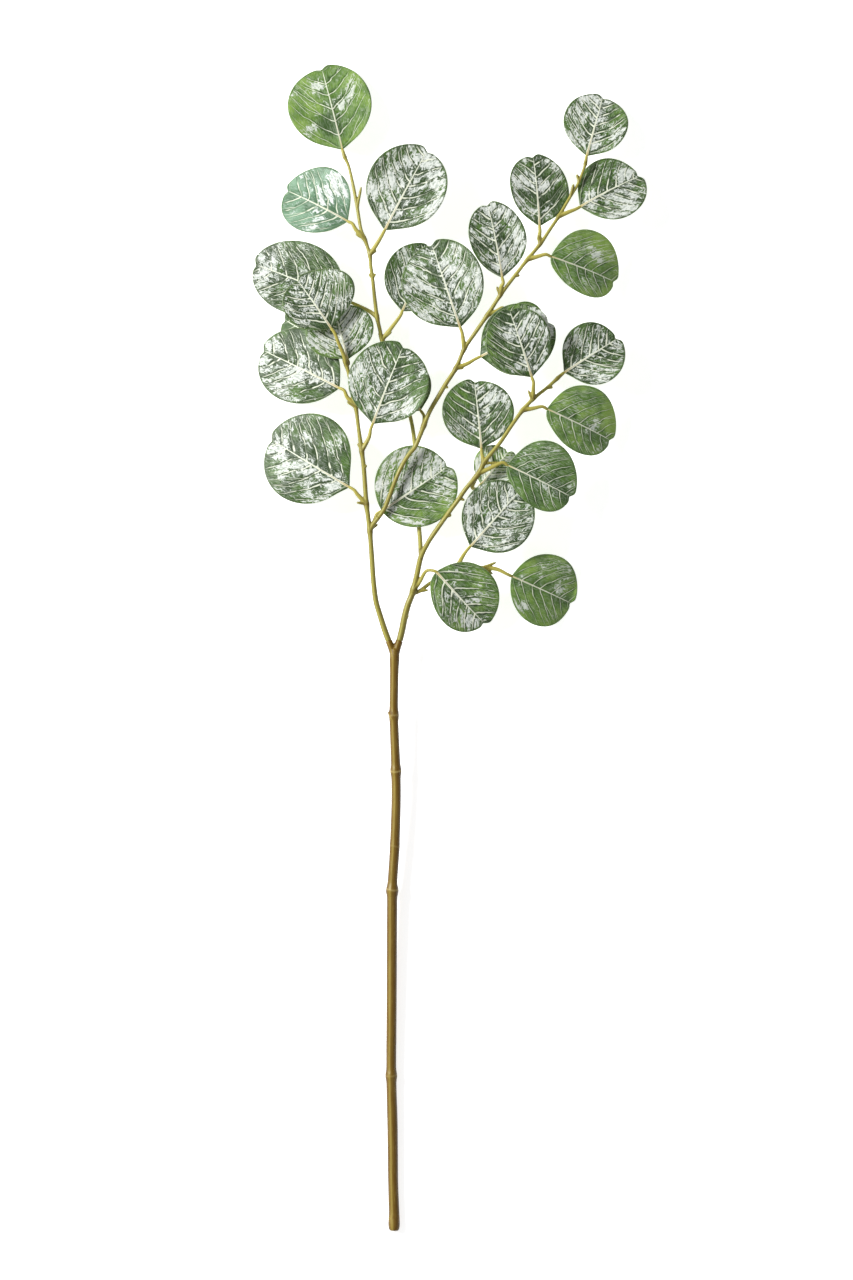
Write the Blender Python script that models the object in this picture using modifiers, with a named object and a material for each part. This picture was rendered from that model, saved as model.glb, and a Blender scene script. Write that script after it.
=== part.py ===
"""Eucalyptus branch: a cut spray of round leaves, lying on a surface.

Every size is in millimetres until it is written to a mesh. The branch lies along +Y, from its
cut end to its leaf tips, with +Z up. Points are given from the cut end, with z above the surface
that the branch lies on. The origin is on that surface, under the collar at the cut end.
"""

import math
from collections import namedtuple

import bmesh
import bpy
from mathutils import Matrix, Vector

MM = 0.001
COLLECTION = "eucalyptus_branch"
ORIGIN_UP_STEM = 6.0     # the origin lies this far from the cut end, under the collar
GAP = 0.4                # clearance between a branch and the stump it grows from
LEAF_GAP = 0.45          # clearance between a stalk's end and its leaf

# Leaf blades
BLADE_THICKNESS = 0.7
BLADE_COLUMNS = 8        # across the blade
BLADE_ROWS = 6           # along the midrib
BLADE_CENTRE = 0.52      # the blade's middle, as a share of its length from the base
TIP_REACH = 0.48         # from the middle to the tip, as a share of the length
WEDGE_SPREAD = 0.2       # half-width of the wedge at the base, in radians
NOTCH_DEPTH = 2.6        # the nick at the leaf's tip
NOTCH_SPREAD = 0.09      # its half-width, in radians
LOBE_STEP = 1.1          # how far the larger lobe stands out beside the nick
LOBE_TURN = 0.06         # how sharply one lobe gives way to the other, in radians
LOBE_SPREAD = 0.7        # how far round the edge a lobe reaches, in radians
BIAS_RISE = 9.0          # how soon after the base the blade takes its sideways shift
MOST_BIAS = 0.75         # the most of a blade's half-width that it may be shifted by
RIDGE_HEIGHT = 0.9       # the fold along the midrib
RIDGE_WIDTH = 1.6        # its half-width
MIDRIB_WIDTH = 1.4
WAVE_HEIGHT = 0.9        # how far the edge waves up and down
FLOOR_SOFTNESS = 1.2     # how gently a leaf that meets the surface bends along it

# Stems
STATION_STEP = 18.0      # spacing of the rings of vertices along a stem
EXTRA_STEP = 9.0         # the same along a twig or a stump
NODE_OFFSETS = (-3.5, 0.0, 3.0)
NODE_SWELL = 0.30        # a stem is this much thicker where a leaf stalk leaves it
NODE_SPREAD = 2.6
PETIOLE_RADII = (1.2, 1.0, 0.85)
PETIOLE_STEP = 4.0
STUB_RADII = (1.15, 0.75)
STALK_LEAD = 4.0         # a leaf stalk runs straight for this long before its leaf

# Main stem
RING_OFFSETS = (-6.0, -2.6, 0.0, 2.0, 5.0)
RING_SPREAD = 3.2
FLAT_CUTTER = (16.0, 80.0, 10.0)

# Centre lines as (x, y, z, radius) in mm
COLLAR = ((0, 0, 2.9, 2.5), (0, 0.9, 2.9, 3.2), (0, 2.6, 2.9, 3.6), (0, 5, 2.9, 3.75))
MAIN_STEM = (
    (0, 13, 2.95, 3.4), (-0.7, 36, 3.2, 3.25), (-1.1, 73, 3.7, 3.35), (-1.8, 100, 4.2, 3.25),
    (-2.0, 118, 4.6, 3.2),
    (-1.7, 162, 5.7, 3.25), (-1.5, 211, 7.2, 3.3), (-1.3, 238, 8.2, 3.3), (-0.9, 248, 8.6, 3.1),
    (0.5, 270, 9.5, 3.1), (1.5, 302, 10.9, 3.0), (1.3, 323, 11.9, 3.0), (0.5, 344, 13.0, 2.85),
    (-0.1, 362, 13.9, 2.75), (0, 378, 14.8, 2.7), (0.2, 393, 15.6, 2.8), (0.4, 403, 16.1, 3.2),
    (0.4, 408, 16.3, 2.7),
)
MAIN_RINGS = ((109, 0.65), (239, 0.85), (270, 0.2), (323, 0.65), (362, 0.55))  # (y, bulge)

LEFT_STEM = (
    (-3.7, 414, 16.5, 2.05), (-6.3, 421, 17.2, 2.0), (-9.8, 432, 18.2, 1.85), (-12.6, 442, 19.2, 1.8),
    (-14.3, 456, 20.6, 1.7), (-15.4, 472, 22.2, 1.7), (-16.1, 482, 23.2, 1.6), (-16.8, 491, 24, 1.6),
    (-18.2, 502, 25, 1.5), (-19.2, 510, 25.4, 1.5), (-21, 535, 26, 1.45), (-22.4, 546, 26.2, 1.4),
    (-24.6, 562, 26.6, 1.25), (-26.6, 577, 27, 1.25), (-29.4, 587, 27, 1.15), (-31.5, 600, 27, 1.1),
    (-33.4, 607, 27, 1.1),
)
RIGHT_STEM = (
    (3.9, 414, 16.5, 2.25), (5.6, 421, 17.0, 2.25), (7.4, 430, 18, 2.2), (9.8, 439, 19, 2.15),
    (13.3, 448, 20, 2.0), (16.1, 460, 22, 1.8), (18.9, 472.5, 24, 1.8), (23.1, 481, 26, 1.6),
    (27.5, 488, 27.6, 1.55), (38.5, 503.5, 30.5, 1.5), (44.8, 512, 32, 1.5), (50.4, 520, 33.2, 1.45),
    (58.8, 530, 34.4, 1.45), (62.6, 537.5, 35, 1.4), (67.2, 543.5, 35.2, 1.35), (74.2, 552, 35, 1.3),
    (81.9, 563.5, 34.2, 1.25), (89.6, 574.2, 33, 1.25), (97.3, 582.5, 31.4, 1.2),
    (107.2, 590.5, 29, 1.1), (115, 597.6, 26.8, 1.05),
)
SIDE_TWIG = (
    (13.3, 447, 20, 1.5), (18.2, 448.8, 18.6, 1.3), (25.2, 454, 18, 1.2), (35.7, 460.4, 18.4, 1.1),
    (44.1, 465.2, 19.3, 1.05), (53.2, 466, 19.8, 0.95), (64, 465, 20, 0.9),
)
CENTRE_LEFT_STEM = (
    (18.6, 477.5, 21.8, 1.5), (18.4, 483, 19, 1.45), (17.5, 493.5, 15.6, 1.4), (16.6, 508, 13.4, 1.35),
    (15.8, 528, 12.2, 1.3), (14.7, 549.5, 11.9, 1.3), (12, 568, 12.2, 1.25), (6.3, 587, 13.4, 1.25),
    (-0.7, 607, 16.2, 1.25), (-8.2, 624, 20, 1.3), (-9.8, 631, 21.4, 1.25), (-11.7, 639.5, 23, 1.25),
    (-13.3, 652, 25, 1.2), (-14.9, 667, 26.6, 1.15), (-16.1, 675, 27, 1.15), (-16.8, 683, 27, 1.15),
    (-20.3, 694, 26.2, 1.1), (-23.1, 701.5, 25.2, 1.05), (-25.7, 717, 23.6, 1.1),
    (-28.7, 733, 21.8, 1.0), (-31.5, 745, 20.2, 0.95), (-34.6, 752.2, 19.2, 0.95),
)
CENTRE_RIGHT_STEM = (
    (-10.6, 500, 25.6, 1.5), (-6.6, 506, 26.8, 1.45), (-2.6, 516, 28.3, 1.4), (1.4, 526.5, 29.4, 1.4),
    (6.3, 537, 30, 1.4), (11.2, 544.5, 30, 1.4), (15.4, 550, 30, 1.45), (20.6, 563, 29.8, 1.5),
    (25.2, 574, 29.5, 1.45), (32.2, 586, 29.2, 1.5), (36, 592.5, 29, 1.45), (43.4, 604, 29, 1.35),
    (49, 617, 29.2, 1.3), (57.4, 629.5, 30, 1.3), (65.1, 640.5, 31, 1.3), (74.2, 654.5, 31.8, 1.2),
    (84.7, 668.5, 31.6, 1.15), (93.1, 679.4, 31, 1.15), (102.2, 690.5, 29.6, 1.1),
    (108.5, 700, 28.2, 1.05), (115, 709.8, 26.6, 1.05), (121.8, 721.5, 24.4, 0.95),
    (128.1, 732, 22.4, 0.9), (132.3, 742.5, 20.8, 0.85), (133.8, 747, 20.1, 0.85),
)

# The stumps that the branches grow from, as centre lines on the stem that carries each
FORK_LEFT = ((0.6, 401, 16, 2.3), (-1.4, 408, 16.2, 2.15), (-3.7, 414, 16.5, 2.05))
FORK_RIGHT = ((0.4, 401, 16, 2.4), (2.0, 408, 16.2, 2.3), (3.9, 414, 16.5, 2.25))
STUMP_CENTRE_LEFT = ((18.9, 471.5, 23.9, 1.5), (18.6, 477.5, 21.8, 1.5))
STUMP_CENTRE_RIGHT = ((-16.7, 490.5, 23.9, 1.6), (-14.4, 495.2, 24.8, 1.55), (-10.6, 500, 25.6, 1.5))

# Bud nubs and stubs of old stalks, as (start, end)
MAIN_STUBS = (((-0.8, 360.5, 14), (-4.0, 364.2, 14.4)),)
LEFT_STUBS = (
    ((-18.8, 509, 25.4), (-26.0, 510.3, 26.2)), ((-26.6, 576.5, 27), (-32.6, 580.4, 27.4)),
    ((-22.4, 546, 26.2), (-18.6, 551.4, 27.2)), ((-16.7, 491, 24), (-11.2, 495.2, 22.6)),
    ((-20.8, 534, 26), (-19.0, 536.4, 26.6)), ((-23.2, 548, 26.2), (-25.2, 551.5, 26.4)),
)
RIGHT_STUBS = (
    ((6.6, 426, 17.6), (10.0, 431.6, 18.0)), ((13.3, 447.4, 20), (24.0, 449.4, 19.4)),
    ((35.9, 500, 29.8), (40.2, 501.4, 30.2)), ((45.4, 512.8, 32), (49.4, 511.8, 32)),
    ((96.2, 581.4, 31.6), (93.6, 588.2, 33)), ((106.6, 590, 29.2), (110.8, 590.4, 28.8)),
    ((62.2, 465, 20), (71.4, 468.6, 20.6)), ((62.6, 465.2, 20), (69.0, 460.4, 19.4)),
    ((62.6, 537.5, 35), (76.0, 537.6, 34.6)),
)
CENTRE_LEFT_STUBS = (
    ((-20.1, 693.6, 26.2), (-26.6, 697.4, 26.4)), ((-16.7, 682.8, 27), (-12.2, 685.8, 27.4)),
    ((-8.2, 624, 20), (-1.6, 629.6, 21.4)), ((-25.6, 716, 23.7), (-22.8, 730.4, 23.4)),
    ((-14.8, 666.5, 26.6), (-17.4, 669.6, 26.8)), ((-15, 666.5, 26.6), (-12.8, 669.8, 26.8)),
    ((-8.4, 625, 20.2), (-10.6, 628.6, 20.4)),
)
CENTRE_RIGHT_STUBS = (
    ((43, 603.4, 29), (48.6, 603.8, 29.2)), ((84.2, 667.8, 31.6), (87.6, 668.2, 31.8)),
    ((74, 654, 31.8), (71.6, 660.4, 32.2)), ((123.2, 724, 24), (125.4, 732.4, 24)),
    ((129.2, 734.6, 22), (127.6, 739.4, 22)), ((35.4, 591.4, 29), (37.9, 590, 29)),
    ((101.8, 690, 29.6), (100.2, 695.4, 30)),
)

Stem = namedtuple("Stem", "path stubs extras rings sides colour")
STEMS = {
    "main_stem": Stem(MAIN_STEM, MAIN_STUBS, (FORK_LEFT, FORK_RIGHT), MAIN_RINGS, 10,
                      (0.24, 0.16, 0.045)),
    "left_stem": Stem(LEFT_STEM, LEFT_STUBS, (STUMP_CENTRE_RIGHT,), (), 8, (0.30, 0.27, 0.08)),
    "right_stem": Stem(RIGHT_STEM, RIGHT_STUBS, (SIDE_TWIG, STUMP_CENTRE_LEFT), (), 8,
                       (0.34, 0.27, 0.07)),
    "centre_left_stem": Stem(CENTRE_LEFT_STEM, CENTRE_LEFT_STUBS, (), (), 8, (0.38, 0.33, 0.11)),
    "centre_right_stem": Stem(CENTRE_RIGHT_STEM, CENTRE_RIGHT_STUBS, (), (), 8,
                              (0.36, 0.28, 0.08)),
}

FROSTED = (0.42, 0.47, 0.40)
GREEN = (0.09, 0.19, 0.05)
MINT = (0.27, 0.38, 0.29)

# A leaf's stalk leaves its stem at the first point and reaches the leaf at base. roll lifts the
# right edge, seen from above with the tip up, in degrees. cup lifts both edges, arch the middle,
# in mm. bias shifts the blade to the right of its midrib. heel is how far the rounded base reaches
# back from the blade's middle, as a share of the length; a small one leaves a longer wedge at the
# stalk. lobe says which side's lobe is larger.
Leaf = namedtuple("Leaf", "stem stalk base tip width roll cup arch bias heel lobe colour")
LEAVES = {
    "leaf_left_1": Leaf("left_stem", ((-18.9, 509, 25.4), (-25, 515.4, 26.2)),
                        (-31, 521, 25.6), (-85.4, 554.4, 12),
                        64.5, 5, 2.5, 3, 2.6, 0.45, 1, FROSTED),
    "leaf_left_2": Leaf("left_stem", ((-26.6, 577, 27), (-32.4, 583.5, 27)),
                        (-38, 590, 26.4), (-91.2, 617, 7.5),
                        54, -5, 1.5, 2, 1.2, 0.47, 1, FROSTED),
    "leaf_left_3": Leaf("left_stem", ((-33.2, 606.4, 27), (-34.6, 612, 30), (-38.6, 621.5, 34)),
                        (-43.4, 631, 35.4), (-66.5, 664, 35),
                        52, -4, 1.5, 2, 6.0, 0.47, 1, FROSTED),
    "leaf_left_4": Leaf("left_stem", ((-33, 605.6, 27), (-31.7, 607.4, 26.2)),
                        (-32.2, 609.8, 26), (-41.8, 646, 25),
                        48, -3, 1, 2, -0.5, 0.47, -1, FROSTED),
    "leaf_left_5": Leaf("left_stem", ((-32.8, 605, 27), (-34.6, 609.6, 24)),
                        (-38, 615, 20.6), (-76.4, 639, 0.4),
                        36, 0, 0.5, 1.5, 0, 0.47, 1, GREEN),
    "leaf_inner_1": Leaf("left_stem", ((-22.4, 546, 26.2), (-17.4, 555.5, 27.6)),
                         (-14.7, 565, 28), (6.3, 618.4, 29.6),
                         57, 6, 2, 3, 0.2, 0.46, -1, FROSTED),
    "leaf_inner_2": Leaf("centre_right_stem", ((21, 564, 29.8), (21.2, 568, 27)),
                         (18.6, 574.5, 24.2), (-1.6, 604.5, 20.4),
                         38, 0, 0.5, 1.5, 0, 0.47, 1, FROSTED),
    "leaf_cross": Leaf("left_stem", ((-16.6, 490.4, 24), (-13, 499, 22.2)),
                       (-8.6, 504.4, 22.0), (37.6, 535.4, 20),
                       58, -3, 1.5, 2, -1.5, 0.51, 1, FROSTED),
    "leaf_centre_left_1": Leaf("centre_left_stem", ((-34.2, 751.4, 19.3), (-34.9, 753.2, 19.1)),
                               (-36, 757, 18.6), (-50.6, 814.8, -0.6),
                               59, -3, 2, 3, -1.3, 0.465, 1, GREEN),
    "leaf_centre_left_2": Leaf("centre_left_stem", ((-20.3, 693.7, 26.2), (-26.4, 700.4, 26.6)),
                               (-32.2, 706.3, 25.6), (-74.4, 728.5, 12),
                               49.5, -9, 2, 3, 3.2, 0.47, 1, MINT),
    "leaf_centre_left_3": Leaf("centre_left_stem", ((-16.8, 682.8, 27), (-11.6, 690.6, 28.2)),
                               (-6.3, 700, 28.2), (23.1, 755.6, 19),
                               55.5, 5, 3, 3, -0.7, 0.455, -1, FROSTED),
    "leaf_centre_left_4": Leaf("centre_left_stem", ((-8.2, 624.2, 20), (-2, 632, 20.8)),
                               (5.8, 644, 20.6), (24.6, 687.6, 17),
                               46, -3, 1.5, 2, 0, 0.47, -1, FROSTED),
    "leaf_centre_left_5": Leaf("centre_left_stem", ((-11.8, 639.8, 23), (-17, 643.8, 20.6),
                                                    (-25, 648, 19)),
                               (-33, 651.4, 18.4), (-96.8, 677.3, 9),
                               52, -5, 2, 3, 1.8, 0.455, 1, FROSTED),
    "leaf_centre_right_1": Leaf("centre_right_stem", ((133.6, 746.4, 20.2), (134, 748.6, 19.9)),
                                (134.6, 752.4, 19.4), (146.3, 794.4, 0.2),
                                45.5, 2, 2, 2.5, 0, 0.465, -1, FROSTED),
    "leaf_centre_right_2": Leaf("centre_right_stem", ((114.8, 709.6, 26.6), (122, 712.8, 26.6)),
                                (129.8, 716.4, 25), (171.2, 738.8, 11),
                                47, 16, 0.6, 2, -0.4, 0.47, 1, FROSTED),
    "leaf_centre_right_3": Leaf("centre_right_stem", ((102.1, 690.3, 29.6), (101.4, 696, 29)),
                                (101.5, 702.8, 27.2), (97.3, 752.2, 13),
                                42.5, -14, 0.5, 1.5, 2.4, 0.45, 1, FROSTED),
    "leaf_centre_right_4": Leaf("centre_right_stem", ((74.2, 654.4, 31.8), (74.8, 660.4, 33)),
                                (75.4, 666.6, 33.4), (65.3, 717.2, 30),
                                40, -10, 2, 3, 1.8, 0.455, 1, FROSTED),
    "leaf_centre_right_5": Leaf("centre_right_stem", ((93, 679.2, 31), (100.4, 681.4, 31.6)),
                                (109.2, 681.5, 30.4), (153.8, 665.4, 10),
                                45, 8, 2, 3, -5.6, 0.5, -1, GREEN),
    "leaf_centre_right_6": Leaf("centre_right_stem", ((49, 617, 29.2), (48.2, 624, 30.2)),
                                (46.2, 632.1, 30.4), (26.6, 689.8, 27),
                                57.5, 3, 2.5, 3, -1.8, 0.47, 1, FROSTED),
    "leaf_centre_right_7": Leaf("centre_right_stem", ((43.2, 603.8, 29), (51, 606.8, 29.2)),
                                (60.2, 611.8, 29.2), (108, 635, 34.6),
                                49.5, 3, 1.5, 2, 1.2, 0.46, 1, FROSTED),
    "leaf_centre_right_8": Leaf("centre_right_stem", ((65, 640.4, 31), (71.6, 643.4, 30.8)),
                                (79, 644.2, 28.2), (102, 633, 21.5),
                                25, 0, 0.5, 1, 0, 0.47, 1, GREEN),
    "leaf_right_1": Leaf("right_stem", ((114, 596.8, 27), (115.4, 598, 26.7)),
                         (118.6, 600.8, 26), (155.6, 624.6, 18),
                         45, 3, 2, 2.5, 0, 0.455, 1, FROSTED),
    "leaf_right_2": Leaf("right_stem", ((89.6, 574.2, 33), (97, 575.6, 33)),
                         (106.5, 575.3, 31), (151, 554.4, 11),
                         46, 6, 2, 3, -5.2, 0.5, -1, GREEN),
    "leaf_right_3": Leaf("right_stem", ((58.6, 529.8, 34.4), (68, 534.4, 35)),
                         (79, 536, 34.6), (122.8, 514.4, 26),
                         47, 7, 2, 3, -5.6, 0.5, -1, GREEN),
    "leaf_right_4": Leaf("right_stem", ((57.4, 528.2, 34.1), (54.6, 521, 29.6)),
                         (60.6, 522.8, 25.2), (79.6, 545.4, 23.6),
                         32, 3, 0.5, 1, 0, 0.47, 1, FROSTED),
    "leaf_right_5": Leaf("right_stem", ((97.1, 582.3, 31.4), (97, 589, 35.4)),
                         (95.9, 597, 38.4), (80.4, 643, 43),
                         46, -4, 1.5, 2, -1.5, 0.46, -1, FROSTED),
    "leaf_right_6": Leaf("right_stem", ((62.4, 537.2, 35), (61.8, 541.6, 33.8)),
                         (60.9, 547.4, 31.4), (56, 594.1, 26),
                         50.5, -5, 2, 3, 0, 0.465, -1, FROSTED),
    "leaf_twig_1": Leaf("right_stem", ((44, 465.2, 19.3), (47.6, 472, 22.4)),
                        (53.2, 479.5, 26), (88.2, 519.2, 29),
                        50.5, -2, 1.5, 2, 0.8, 0.465, 1, FROSTED),
    "leaf_twig_2": Leaf("right_stem", ((14, 449.4, 20.4), (18, 455, 21.6), (22.8, 462.6, 24.8)),
                        (29.5, 462.1, 27.1), (63, 426.2, 14),
                        47, -5, 2, 3, -4.2, 0.51, -1, FROSTED),
    "leaf_twig_3": Leaf("right_stem", ((63, 465.1, 20), (72, 463.8, 20.4)),
                        (82.2, 459, 19), (123.8, 440.4, -0.6),
                        51, 3, 2, 3, -0.8, 0.5, -1, GREEN),
}


def clear_scene():
    """Empty the scene and start the collections for the parts and the cutters."""
    for obj in list(bpy.data.objects):
        bpy.data.objects.remove(obj, do_unlink=True)
    for name in (COLLECTION, "cutters"):
        collection = bpy.data.collections.new(name)
        bpy.context.scene.collection.children.link(collection)


def material(name, colour, roughness):
    """A Principled material of one colour."""
    mat = bpy.data.materials.new(name)
    mat.use_nodes = True
    shader = mat.node_tree.nodes["Principled BSDF"]
    shader.inputs["Base Color"].default_value = (*colour, 1.0)
    shader.inputs["Roughness"].default_value = roughness
    shader.inputs["Metallic"].default_value = 0.0
    mat.diffuse_color = (*colour, 1.0)
    return mat


def to_part(x, y, z):
    """A point given in mm from the cut end, in metres from the origin."""
    return Vector((x, y - ORIGIN_UP_STEM, z)) * MM


# Stems

def spline(points, step=1.0):
    """Points about step mm apart on a smooth curve through the given (x, y, z, radius) points."""
    controls = [Vector(p) for p in points]
    controls = [controls[0] * 2 - controls[1], *controls, controls[-1] * 2 - controls[-2]]
    result = []
    for before, start, end, after in zip(controls, controls[1:], controls[2:], controls[3:]):
        count = max(1, round((end - start).to_3d().length / step))
        for k in range(count):
            t = k / count
            bend = (before * 2 - start * 5 + end * 4 - after) * t
            bend += (start * 3 - before - end * 3 + after) * t * t
            result.append(start + ((end - before) + bend) * (t * 0.5))
    return result + [controls[-2]]


def stations(points, step, marks, offsets):
    """Thin a fine path to one point every step mm, with extra ones round each marked place."""
    along = [0.0]
    for previous, point in zip(points, points[1:]):
        along.append(along[-1] + (point - previous).to_3d().length)
    count = round(along[-1] / step)
    wanted = [along[-1] * k / count for k in range(count)]
    for mark in marks:
        nearest = min(range(len(points)), key=lambda i: (points[i].to_3d() - mark).length)
        wanted += [along[nearest] + offset for offset in offsets]
    kept = [0]
    for place in sorted(w for w in wanted if 1.5 < w < along[-1] - 1.5):
        index = min(range(len(along)), key=lambda i: abs(along[i] - place))
        if along[index] - along[kept[-1]] > 1.4:
            kept.append(index)
    return [points[i] for i in (*kept, len(points) - 1)]


def swollen(points, marks, swell, spread):
    """Thicken a path round each marked place."""
    result = []
    for point in points:
        near = min(((point.to_3d() - mark).length for mark in marks), default=1000.0)
        radius = point[3] * (1.0 + swell * math.exp(-(near / spread) ** 2))
        result.append(Vector((*point.to_3d(), radius)))
    return result


def tube(name, points, sides):
    """A closed mesh tube along (x, y, z, radius) points, from a bevelled curve with caps."""
    curve = bpy.data.curves.new(name, "CURVE")
    curve.dimensions = "3D"
    curve.bevel_depth = MM
    curve.bevel_resolution = sides // 2 - 2
    curve.use_fill_caps = True
    line = curve.splines.new("POLY")
    line.points.add(len(points) - 1)
    for target, point in zip(line.points, points):
        target.co = (*to_part(*point.to_3d()), 1.0)
        target.radius = point[3]
    source = bpy.data.objects.new(name, curve)
    bpy.context.scene.collection.objects.link(source)
    evaluated = source.evaluated_get(bpy.context.evaluated_depsgraph_get())
    mesh = bpy.data.meshes.new_from_object(evaluated)
    bpy.data.objects.remove(source, do_unlink=True)
    bm = bmesh.new()
    bm.from_mesh(mesh)
    bmesh.ops.remove_doubles(bm, verts=bm.verts, dist=0.00002)
    bmesh.ops.recalc_face_normals(bm, faces=bm.faces)
    bm.to_mesh(mesh)
    bm.free()
    return bpy.data.objects.new(name, mesh)


def as_vectors(points):
    return [Vector(p) for p in points]


def straight_tube(name, start, end, radii):
    """A short tapered tube from one point to another, rounded off at its far end."""
    start, end = Vector(start), Vector(end)
    rim = start.lerp(end, 0.85)
    points = [(*start, radii[0]), (*rim, radii[1]), (*end, radii[1] * 0.6)]
    return tube(name, as_vectors(points), 6)


def leaf_axis(leaf):
    return (Vector(leaf.tip) - Vector(leaf.base)).normalized()


def petiole(name, leaf):
    """A leaf's stalk, from the middle of its stem to just short of the leaf's base."""
    axis = leaf_axis(leaf)
    route = [Vector(p) for p in leaf.stalk]
    lead = Vector(leaf.base) - axis * STALK_LEAD
    if (lead - route[-1]).dot(axis) > 1.0:
        route.append(lead)
    route.append(Vector(leaf.base) - axis * LEAF_GAP)
    last = len(route) - 1
    near, middle, far = PETIOLE_RADII
    points = []
    for i, point in enumerate(route):
        share = i / last
        if share < 0.5:
            radius = near + (middle - near) * share * 2
        else:
            radius = middle + (far - middle) * (share * 2 - 1)
        points.append((*point, radius))
    return tube(name, stations(spline(points), PETIOLE_STEP, (), ()), 6)


def after_gap(points):
    """A branch's centre line, started a gap past the stump that carries it."""
    first, second = Vector(points[0]), Vector(points[1])
    axis = (second - first).to_3d().normalized() * GAP
    return [(*(first.to_3d() + axis), first[3]), *points[1:]]


def stem_body(name, stem):
    """The stem's own tube, swollen at its nodes or rings."""
    if name == "main_stem":
        points = stations(spline(stem.path), STATION_STEP,
                          [ring_place(stem.path, y) for y, _ in stem.rings], RING_OFFSETS)
        for y, bulge in stem.rings:
            for point in points:
                point[3] += bulge * math.exp(-((point[1] - y) / RING_SPREAD) ** 2)
        return tube(name, as_vectors(COLLAR) + points, stem.sides)
    marks = [Vector(leaf.stalk[0]) for leaf in LEAVES.values() if leaf.stem == name]
    path = after_gap(stem.path)
    points = stations(spline(path), STATION_STEP, marks, NODE_OFFSETS)
    return tube(name, swollen(points, marks, NODE_SWELL, NODE_SPREAD), stem.sides)


def ring_place(path, y):
    """The point of the main stem's centre line nearest to a height up the stem."""
    return min((p.to_3d() for p in spline(path)), key=lambda p: abs(p[1] - y))


def union(body, pieces):
    """Join a body and its pieces into one solid."""
    group = bpy.data.collections.new(body.name + "_pieces")
    bpy.context.scene.collection.children.link(group)
    for piece in pieces:
        group.objects.link(piece)
    bpy.context.scene.collection.objects.link(body)
    join = body.modifiers.new("join", "BOOLEAN")
    join.operation = "UNION"
    join.operand_type = "COLLECTION"
    join.collection = group
    join.solver = "EXACT"
    evaluated = body.evaluated_get(bpy.context.evaluated_depsgraph_get())
    mesh = bpy.data.meshes.new_from_object(evaluated)
    body.modifiers.clear()
    body.data = mesh
    for piece in pieces:
        bpy.data.objects.remove(piece, do_unlink=True)
    bpy.data.collections.remove(group)
    bpy.context.scene.collection.objects.unlink(body)


def flatten_underside(body):
    """Cut the small flat spot that the stem rests on."""
    bpy.ops.mesh.primitive_cube_add(size=1.0)
    cutter = bpy.context.object
    cutter.name = "underside_cutter"
    for collection in list(cutter.users_collection):
        collection.objects.unlink(cutter)
    bpy.data.collections["cutters"].objects.link(cutter)
    cutter.data.transform(Matrix.Diagonal((*(Vector(FLAT_CUTTER) * MM), 1.0)))
    cutter.location = (0.0, 0.0, -FLAT_CUTTER[2] / 2 * MM)
    cutter.hide_render = True
    cutter.display_type = "WIRE"
    cut = body.modifiers.new("flat_underside", "BOOLEAN")
    cut.operation = "DIFFERENCE"
    cut.object = cutter
    cut.solver = "EXACT"


def build_stem(name, stem):
    """A stem with its stumps, stubs and leaf stalks in one solid."""
    body = stem_body(name, stem)
    pieces = [tube(f"{name}_extra_{i}", stations(spline(extra), EXTRA_STEP, (), ()), stem.sides)
              for i, extra in enumerate(stem.extras)]
    pieces += [straight_tube(f"{name}_stub_{i}", start, end, STUB_RADII)
               for i, (start, end) in enumerate(stem.stubs)]
    pieces += [petiole(f"{leaf_name}_stalk", leaf) for leaf_name, leaf in LEAVES.items()
               if leaf.stem == name]
    union(body, pieces)
    if name == "main_stem":
        flatten_underside(body)
    body.data.materials.clear()
    body.data.materials.append(material(name, stem.colour, 0.45))
    body.data.shade_smooth()
    body.data.set_sharp_from_angle(angle=math.radians(40))
    bpy.data.collections[COLLECTION].objects.link(body)


# Leaves

def angle_between(a, b):
    return (a - b + math.pi) % (2 * math.pi) - math.pi


def blade_radius(angle, leaf, length):
    """Distance from the blade's middle to its edge. The tip is at 0, the right side at +90."""
    reach = TIP_REACH if math.cos(angle) > 0 else leaf.heel
    a, b = reach * length, leaf.width / 2
    radius = a * b / math.hypot(b * math.cos(angle), a * math.sin(angle))
    from_base = angle_between(angle, math.pi)
    radius += (BLADE_CENTRE - leaf.heel) * length * math.exp(-(from_base / WEDGE_SPREAD) ** 2)
    radius -= NOTCH_DEPTH * math.exp(-(angle / NOTCH_SPREAD) ** 2)
    step = math.tanh(angle / LOBE_TURN) * math.exp(-(angle / LOBE_SPREAD) ** 2)
    return radius + leaf.lobe * LOBE_STEP * step


def shifted(x, progress, leaf):
    """Move a point of the blade sideways, so that one side of the midrib is wider than the other."""
    within = min(1.0, max(0.0, progress))
    reach = TIP_REACH if within > BLADE_CENTRE else BLADE_CENTRE
    half = leaf.width / 2 * math.sqrt(max(0.0, 1 - ((within - BLADE_CENTRE) / reach) ** 2))
    wanted = abs(leaf.bias) * math.tanh(BIAS_RISE * within) * (1 - within ** 3)
    shift = math.copysign(min(wanted, MOST_BIAS * half), leaf.bias)
    return x + shift * min(1.0, abs(x) / max(half, MIDRIB_WIDTH))


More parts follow.
